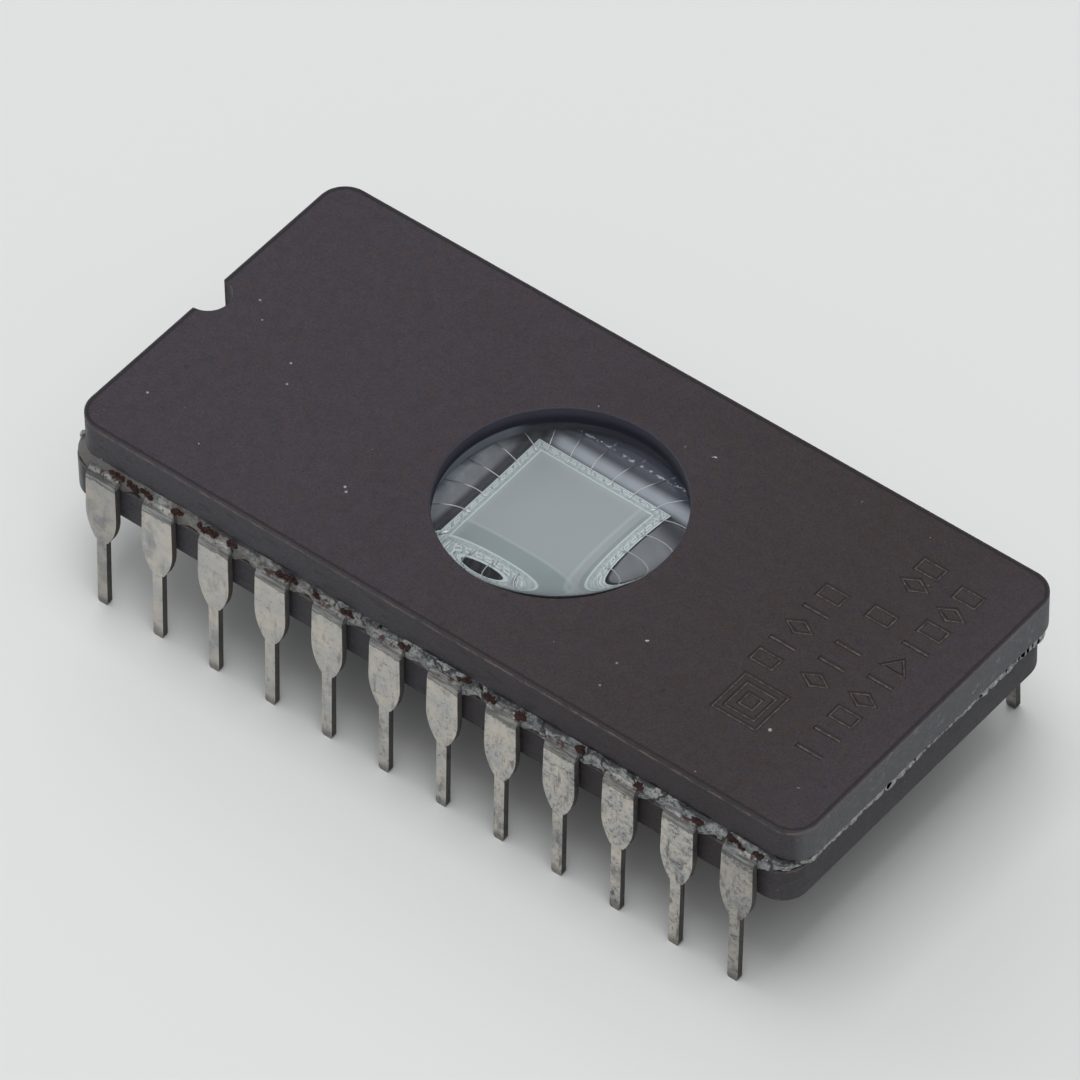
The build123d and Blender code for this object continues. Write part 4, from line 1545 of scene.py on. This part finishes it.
class CHIP_OT_window(bpy.types.Operator):
    """The glass lens fused into the hole of the cap"""

    bl_idname = "chip.window"
    bl_label = "Window"

    def execute(self, context):
        size = sizes()
        radius = WINDOW_HIGH.x - WINDOW_MIDDLE.x
        high = size["lens_top"] - size["lens_top_fall"]
        low = WINDOW_LOW.z + size["lens_bottom_rise"]
        glass = drum(WINDOW_MIDDLE.x, WINDOW_MIDDLE.y, low, high, radius + size["lens_grip"], LENS_SIDES)
        select_only(glass)
        bpy.ops.object.mode_set(mode="EDIT")
        width = LENS_RINGED_SHARE * radius / LENS_RINGS
        sides = (
            (1, size["lens_top_fall"], size["lens_top_power"]),
            (-1, size["lens_bottom_rise"], size["lens_bottom_power"]),
        )
        for side, swell, power in sides:
            pick(glass, "FACE", lambda face: face.normal.z * side > 0.9)
            before = 0.0
            for ring in range(1, LENS_RINGS + 1):
                now = 1 - (1 - ring / LENS_RINGS) ** power
                bpy.ops.mesh.inset(thickness=width * MM, depth=(now - before) * swell * MM)
                before = now
        bpy.ops.object.mode_set(mode="OBJECT")
        smooth(glass, 50)
        done(glass, "window_lens", "window_glass", ["window"], window_material())
        return {"FINISHED"}


class CHIP_OT_die(bpy.types.Operator):
    """The finish of the die and its bond"""

    bl_idname = "chip.die"
    bl_label = "Die"

    def execute(self, context):
        for node, material in (("die", die_material()), ("die_attach", attach_material())):
            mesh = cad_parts[node].data
            mesh.materials.clear()
            mesh.materials.append(material)
        return {"FINISHED"}


class CHIP_OT_leads(bpy.types.Operator):
    """All the leads, with rounded edges"""

    bl_idname = "chip.leads"
    bl_label = "Leads"

    def execute(self, context):
        edge = sizes()["lead_edge"]
        metal = lead_material()
        for name in LEAD_NAMES:
            lead = rounded_copy(name, edge)
            done(lead, f"tinned_{name}", "lead_metal", [name], metal)
        return {"FINISHED"}


def wire_ends(name):
    """Both ends of a bond wire, on the die and on its finger, and the way from the one to the other."""
    points = [vertex.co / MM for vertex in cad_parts[name].data.vertices]
    inner = min(points, key=lambda point: (point.xy - DIE_MIDDLE.xy).length)
    outer = max(points, key=lambda point: (point.xy - DIE_MIDDLE.xy).length)
    along = (outer.xy - inner.xy).normalized()
    spot = inner.xy
    while min((DIE_HIGH - spot.to_3d()).xy[:] + (spot.to_3d() - DIE_LOW).xy[:]) > WIRE_INSET:
        spot = spot + along * WIRE_SEARCH_STEP
    start = Vector((*spot, DIE_HIGH.z + WIRE_START_RISE))
    end = Vector((*(outer.xy - along * WIRE_END_BACK), WIRE_END_LEVEL))
    return start, end, along


def arched_wire(name, start, end, along, draw):
    """A round wire in a loose arch between two points."""
    rise = draw.uniform(*WIRE_ARCH)
    sway = Vector((-along.y, along.x, 0)) * draw.uniform(-WIRE_SWAY, WIRE_SWAY)
    curve = bpy.data.curves.new(name, "CURVE")
    curve.dimensions = "3D"
    curve.bevel_depth = sizes()["wire_radius"] * MM
    curve.bevel_resolution = 2
    curve.use_fill_caps = True
    spline = curve.splines.new("BEZIER")
    spline.bezier_points.add(1)
    reach = (end - start).length * WIRE_REACH_SHARE
    ways = (
        (start, Vector((*(along * reach), rise)) + sway),
        (end, Vector((*(along * -reach), rise * WIRE_END_ARCH_SHARE)) + sway),
    )
    for point, (place, way) in zip(spline.bezier_points, ways):
        point.co = place * MM
        point.handle_left = (place - way * WIRE_TAIL_SHARE) * MM
        point.handle_right = (place + way) * MM
    wire = bpy.data.objects.new(name, curve)
    bpy.context.collection.objects.link(wire)
    select_only(wire)
    bpy.ops.object.convert(target="MESH")
    return bpy.context.object


def pressed_foot(place, along, draw):
    """A flattened end of a wire."""
    nothing_selected()
    bpy.ops.mesh.primitive_uv_sphere_add(segments=10, ring_count=6, radius=MM, location=place * MM)
    foot = bpy.context.object
    foot.scale = FOOT_HALF_SIZE
    foot.rotation_euler = (0, 0, math.atan2(along.y, along.x) + draw.uniform(-FOOT_TURN, FOOT_TURN))
    place_in_mesh(foot)
    return foot


class CHIP_OT_bond_wires(bpy.types.Operator):
    """Round bond wires with pressed feet"""

    bl_idname = "chip.bond_wires"
    bl_label = "Bond wires"

    def execute(self, context):
        metal = wire_material()
        draw = random.Random(WIRE_SEED)
        for name in WIRE_NAMES:
            start, end, along = wire_ends(name)
            wire = arched_wire(name, start, end, along, draw)
            feet = [pressed_foot(place, along, draw) for place in (start, end)]
            wire = joined([wire, *feet])
            smooth(wire, 60)
            done(wire, f"round_{name}", "wire_metal", [name], metal)
        return {"FINISHED"}


def crumb_at(x, y, z, half_size, turn):
    """A small flattened ball at a place in millimetres."""
    nothing_selected()
    bpy.ops.mesh.primitive_ico_sphere_add(subdivisions=2, radius=MM, location=(x * MM, y * MM, z * MM))
    crumb = bpy.context.object
    crumb.scale = half_size
    crumb.rotation_euler = turn
    place_in_mesh(crumb)
    return crumb


def rust_patches(number, draw):
    """Where rust sits at a lead: each patch's place along the row from the lead, and its half length."""
    longer = LONG_PATCH if number == 1 else 0.0
    patches = [(RUST_BESIDE_LEAD + longer / 2, draw.uniform(0.1, 0.3) + longer)]
    if draw.random() < RUST_SECOND_CHANCE:
        patches.append((RUST_BEFORE_LEAD, draw.uniform(0.08, 0.2)))
    if draw.random() < RUST_SECOND_CHANCE:
        patches.append((draw.uniform(-0.3, 0.3), draw.uniform(0.1, 0.4)))
    return patches


def rust_patch(x, row, spread, growth, draw):
    """One ragged streak of rust against the wall, as a list of crumbs."""
    crumbs = []
    slope = draw.uniform(-RUST_SLOPE, RUST_SLOPE)
    middle_z = draw.uniform(*RUST_LEVELS_OF_PATCH)
    for _ in range(RUST_LEAST_COUNT + int(spread * RUST_PER_MM)):
        along = draw.uniform(-1, 1) * spread
        y = row * (WALL_Y + draw.uniform(*RUST_OUT))
        z = clamp(middle_z + slope * along + draw.gauss(0, RUST_SCATTER), RUST_LOWEST, RUST_HIGHEST)
        half_length = draw.uniform(0.04, 0.13) * growth
        half_size = (half_length, draw.uniform(0.05, 0.08), draw.uniform(0.03, 0.085) * growth)
        turn = (0, draw.uniform(-RUST_TURN, RUST_TURN), 0)
        crumbs.append(crumb_at(x + along, y, z, half_size, turn))
    return crumbs


class CHIP_OT_rust(bpy.types.Operator):
    """Rust crusts where the leads leave the sealing glass"""

    bl_idname = "chip.rust"
    bl_label = "Rust"

    def execute(self, context):
        draw = random.Random(RUST_SEED)
        noise.seed_set(RUST_SEED)
        crumbs = []
        for row in (-1, 1):
            for number in range(1, LEADS_PER_ROW + 1):
                growth = RUST_MORE if number >= RUST_MORE_FROM else 1.0
                for beside, spread in rust_patches(number, draw):
                    crumbs += rust_patch(lead_x(number) + beside, row, spread, growth, draw)
        rust = joined(crumbs)
        for vertex in rust.data.vertices:
            point = vertex.co / MM
            lumps = noise.noise_vector(point * 5) * 0.06 * MM
            grains = noise.noise_vector(point * 13) * 0.05 * MM
            vertex.co += lumps + grains
        smooth(rust, 60)
        done(rust, "rust_crust", "lead_metal", [], rust_material())
        return {"FINISHED"}


class CHIP_OT_crumbs(bpy.types.Operator):
    """Pale crust along the seal at the two ends of the body"""

    bl_idname = "chip.crumbs"
    bl_label = "Crust crumbs"

    def execute(self, context):
        draw = random.Random(CRUMB_SEED)
        noise.seed_set(CRUMB_SEED)
        crumbs = []
        for end, lower_x, upper_x in ((1, BASE_HIGH.x, CAP_HIGH.x), (-1, BASE_LOW.x, CAP_LOW.x)):
            y = -CRUMB_HALF_RUN
            while y < CRUMB_HALF_RUN:
                wander = noise.noise(Vector((end * 3.1, y * 0.7, 0)))
                clump = max(noise.noise(Vector((end * 9.7, y * 0.45, 2.0))) + 0.35, 0)
                size = draw.uniform(*CRUMB_SIZES) + CRUMB_GROWTH * clump * draw.random()
                share = CRUMB_SHARE + CRUMB_WANDER * wander
                x = lower_x + share * (upper_x - lower_x) + CRUMB_OUT * end
                level = GLASS_LOW.z + share * (GLASS_HIGH.z - GLASS_LOW.z)
                half_size = (size * 0.8, size * 1.7, size * (0.8 + 0.5 * clump))
                crumbs.append(crumb_at(x, y, level, half_size, (draw.uniform(-0.5, 0.5), 0, 0)))
                y += size * draw.uniform(*CRUMB_SPACING)
        crust = joined(crumbs)
        for vertex in crust.data.vertices:
            vertex.co += noise.noise_vector(vertex.co / MM * 6) * 0.05 * MM
            vertex.co.x = clamp(vertex.co.x, (BASE_LOW.x + CRUMB_PLAY) * MM, (CAP_HIGH.x - CRUMB_PLAY) * MM)
        smooth(crust, 60)
        done(crust, "crust_crumbs", "sealing_glass", [], crust_material())
        return {"FINISHED"}


def add_floor(half_width):
    """A pale floor under the lead tips. It keeps the shadow."""
    nothing_selected()
    bpy.ops.mesh.primitive_plane_add(size=2 * half_width)
    floor = bpy.context.object
    floor.name = "floor"
    floor.data.materials.append(floor_material())


def add_sky(strength):
    """Soft light from all round, brighter above. The camera sees the floor's tone instead."""
    world = bpy.data.worlds.new("Soft sky")
    world.use_nodes = True
    bpy.context.scene.world = world
    wiring = Wiring(world.node_tree)
    sky = world.node_tree.nodes["Background"]
    direction = wiring.split(wiring.add("ShaderNodeTexCoord").outputs["Generated"])
    height = wiring.step(direction[2], 0.0, SKY_FULL_HEIGHT)
    wiring.put(sky.inputs["Color"], wiring.mix(height, SKY_LOW, SKY_HIGH))
    sky.inputs["Strength"].default_value = strength
    seen = wiring.add("ShaderNodeBackground", {"Color": colours().floor, "Strength": 1.0})
    camera_ray = wiring.add("ShaderNodeLightPath").outputs["Is Camera Ray"]
    either = wiring.add("ShaderNodeMixShader", {0: camera_ray, 1: sky.outputs[0], 2: seen.outputs[0]})
    wiring.put(world.node_tree.nodes["World Output"].inputs["Surface"], either.outputs[0])


def add_lamp(name, place, power, width):
    """A soft lamp that points at the part. The glass doesn't show it."""
    lamp = bpy.data.objects.new(name, bpy.data.lights.new(name, "AREA"))
    lamp.data.size = width
    lamp.data.energy = power
    lamp.location = place
    lamp.rotation_euler = (-Vector(place)).to_track_quat("-Z", "Y").to_euler()
    lamp.visible_glossy = name != "back_lamp"
    lamp.visible_transmission = False
    bpy.context.collection.objects.link(lamp)


def add_camera():
    """The photograph's camera, from its two angles, its roll, its distance and its two shifts."""
    azimuth, elevation = CAMERA_AZIMUTH, CAMERA_ELEVATION
    level = math.cos(elevation)
    back = Vector((math.sin(azimuth) * level, -math.cos(azimuth) * level, math.sin(elevation)))
    right = Vector((math.cos(azimuth), math.sin(azimuth), 0))
    up = back.cross(right)
    turned_right = math.cos(CAMERA_ROLL) * right + math.sin(CAMERA_ROLL) * up
    turned_up = math.cos(CAMERA_ROLL) * up - math.sin(CAMERA_ROLL) * right
    place = (back * CAMERA_DISTANCE + turned_right * CAMERA_SIDE + turned_up * CAMERA_UP) * MM
    camera = bpy.data.objects.new("photo_camera", bpy.data.cameras.new("photo_camera"))
    camera.data.lens = CAMERA_LENS
    camera.data.sensor_width = SENSOR_WIDTH
    camera.data.clip_start = CAMERA_NEAR
    camera.data.clip_end = CAMERA_FAR
    turn = Matrix((turned_right, turned_up, back)).transposed().to_4x4()
    camera.matrix_world = Matrix.Translation(place) @ turn
    bpy.context.collection.objects.link(camera)
    bpy.context.scene.camera = camera


class CHIP_OT_stage(bpy.types.Operator):
    """Floor, soft light and the photograph's camera"""

    bl_idname = "chip.stage"
    bl_label = "Stage"

    def execute(self, context):
        light = context.scene.chip_light
        add_floor(light.floor_size)
        add_sky(light.sky_strength)
        for name, place in LAMP_PLACES.items():
            power = getattr(light, name.replace("lamp", "power"))
            add_lamp(name, place, power, light.lamp_width)
        add_camera()
        context.scene.view_settings.view_transform = "Standard"
        return {"FINISHED"}


OPERATORS = (
    CHIP_OT_cap,
    CHIP_OT_base,
    CHIP_OT_seal_glass,
    CHIP_OT_cavity_glass,
    CHIP_OT_window,
    CHIP_OT_die,
    CHIP_OT_leads,
    CHIP_OT_bond_wires,
    CHIP_OT_rust,
    CHIP_OT_crumbs,
    CHIP_OT_stage,
)


class CHIP_PT_panel(bpy.types.Panel):
    """A button for each piece, and all the settings"""

    bl_idname = "CHIP_PT_panel"
    bl_label = "Windowed Memory Chip"
    bl_space_type = "VIEW_3D"
    bl_region_type = "UI"
    bl_category = "Chip"

    def draw(self, context):
        for operator in OPERATORS:
            self.layout.operator(operator.bl_idname)
        for group in (context.scene.chip_sizes, context.scene.chip_colours, context.scene.chip_light):
            box = self.layout.box()
            for name in type(group).__annotations__:
                box.prop(group, name)


GROUPS = {"chip_sizes": ChipSizes, "chip_colours": ChipColours, "chip_light": ChipLight}


def register():
    """Makes the settings, the pieces' operators and the panel known."""
    for group in GROUPS.values():
        bpy.utils.register_class(group)
    for name, group in GROUPS.items():
        setattr(bpy.types.Scene, name, PointerProperty(type=group))
    for operator in OPERATORS:
        bpy.utils.register_class(operator)
    bpy.utils.register_class(CHIP_PT_panel)


def unregister():
    """Takes them out again."""
    bpy.utils.unregister_class(CHIP_PT_panel)
    for operator in reversed(OPERATORS):
        bpy.utils.unregister_class(operator)
    for name in GROUPS:
        delattr(bpy.types.Scene, name)
    for group in reversed(list(GROUPS.values())):
        bpy.utils.unregister_class(group)


def main():
    """Makes every piece."""
    register()
    for operator in OPERATORS:
        family, name = operator.bl_idname.split(".")
        getattr(getattr(bpy.ops, family), name)()


if __name__ == "__main__":
    main()
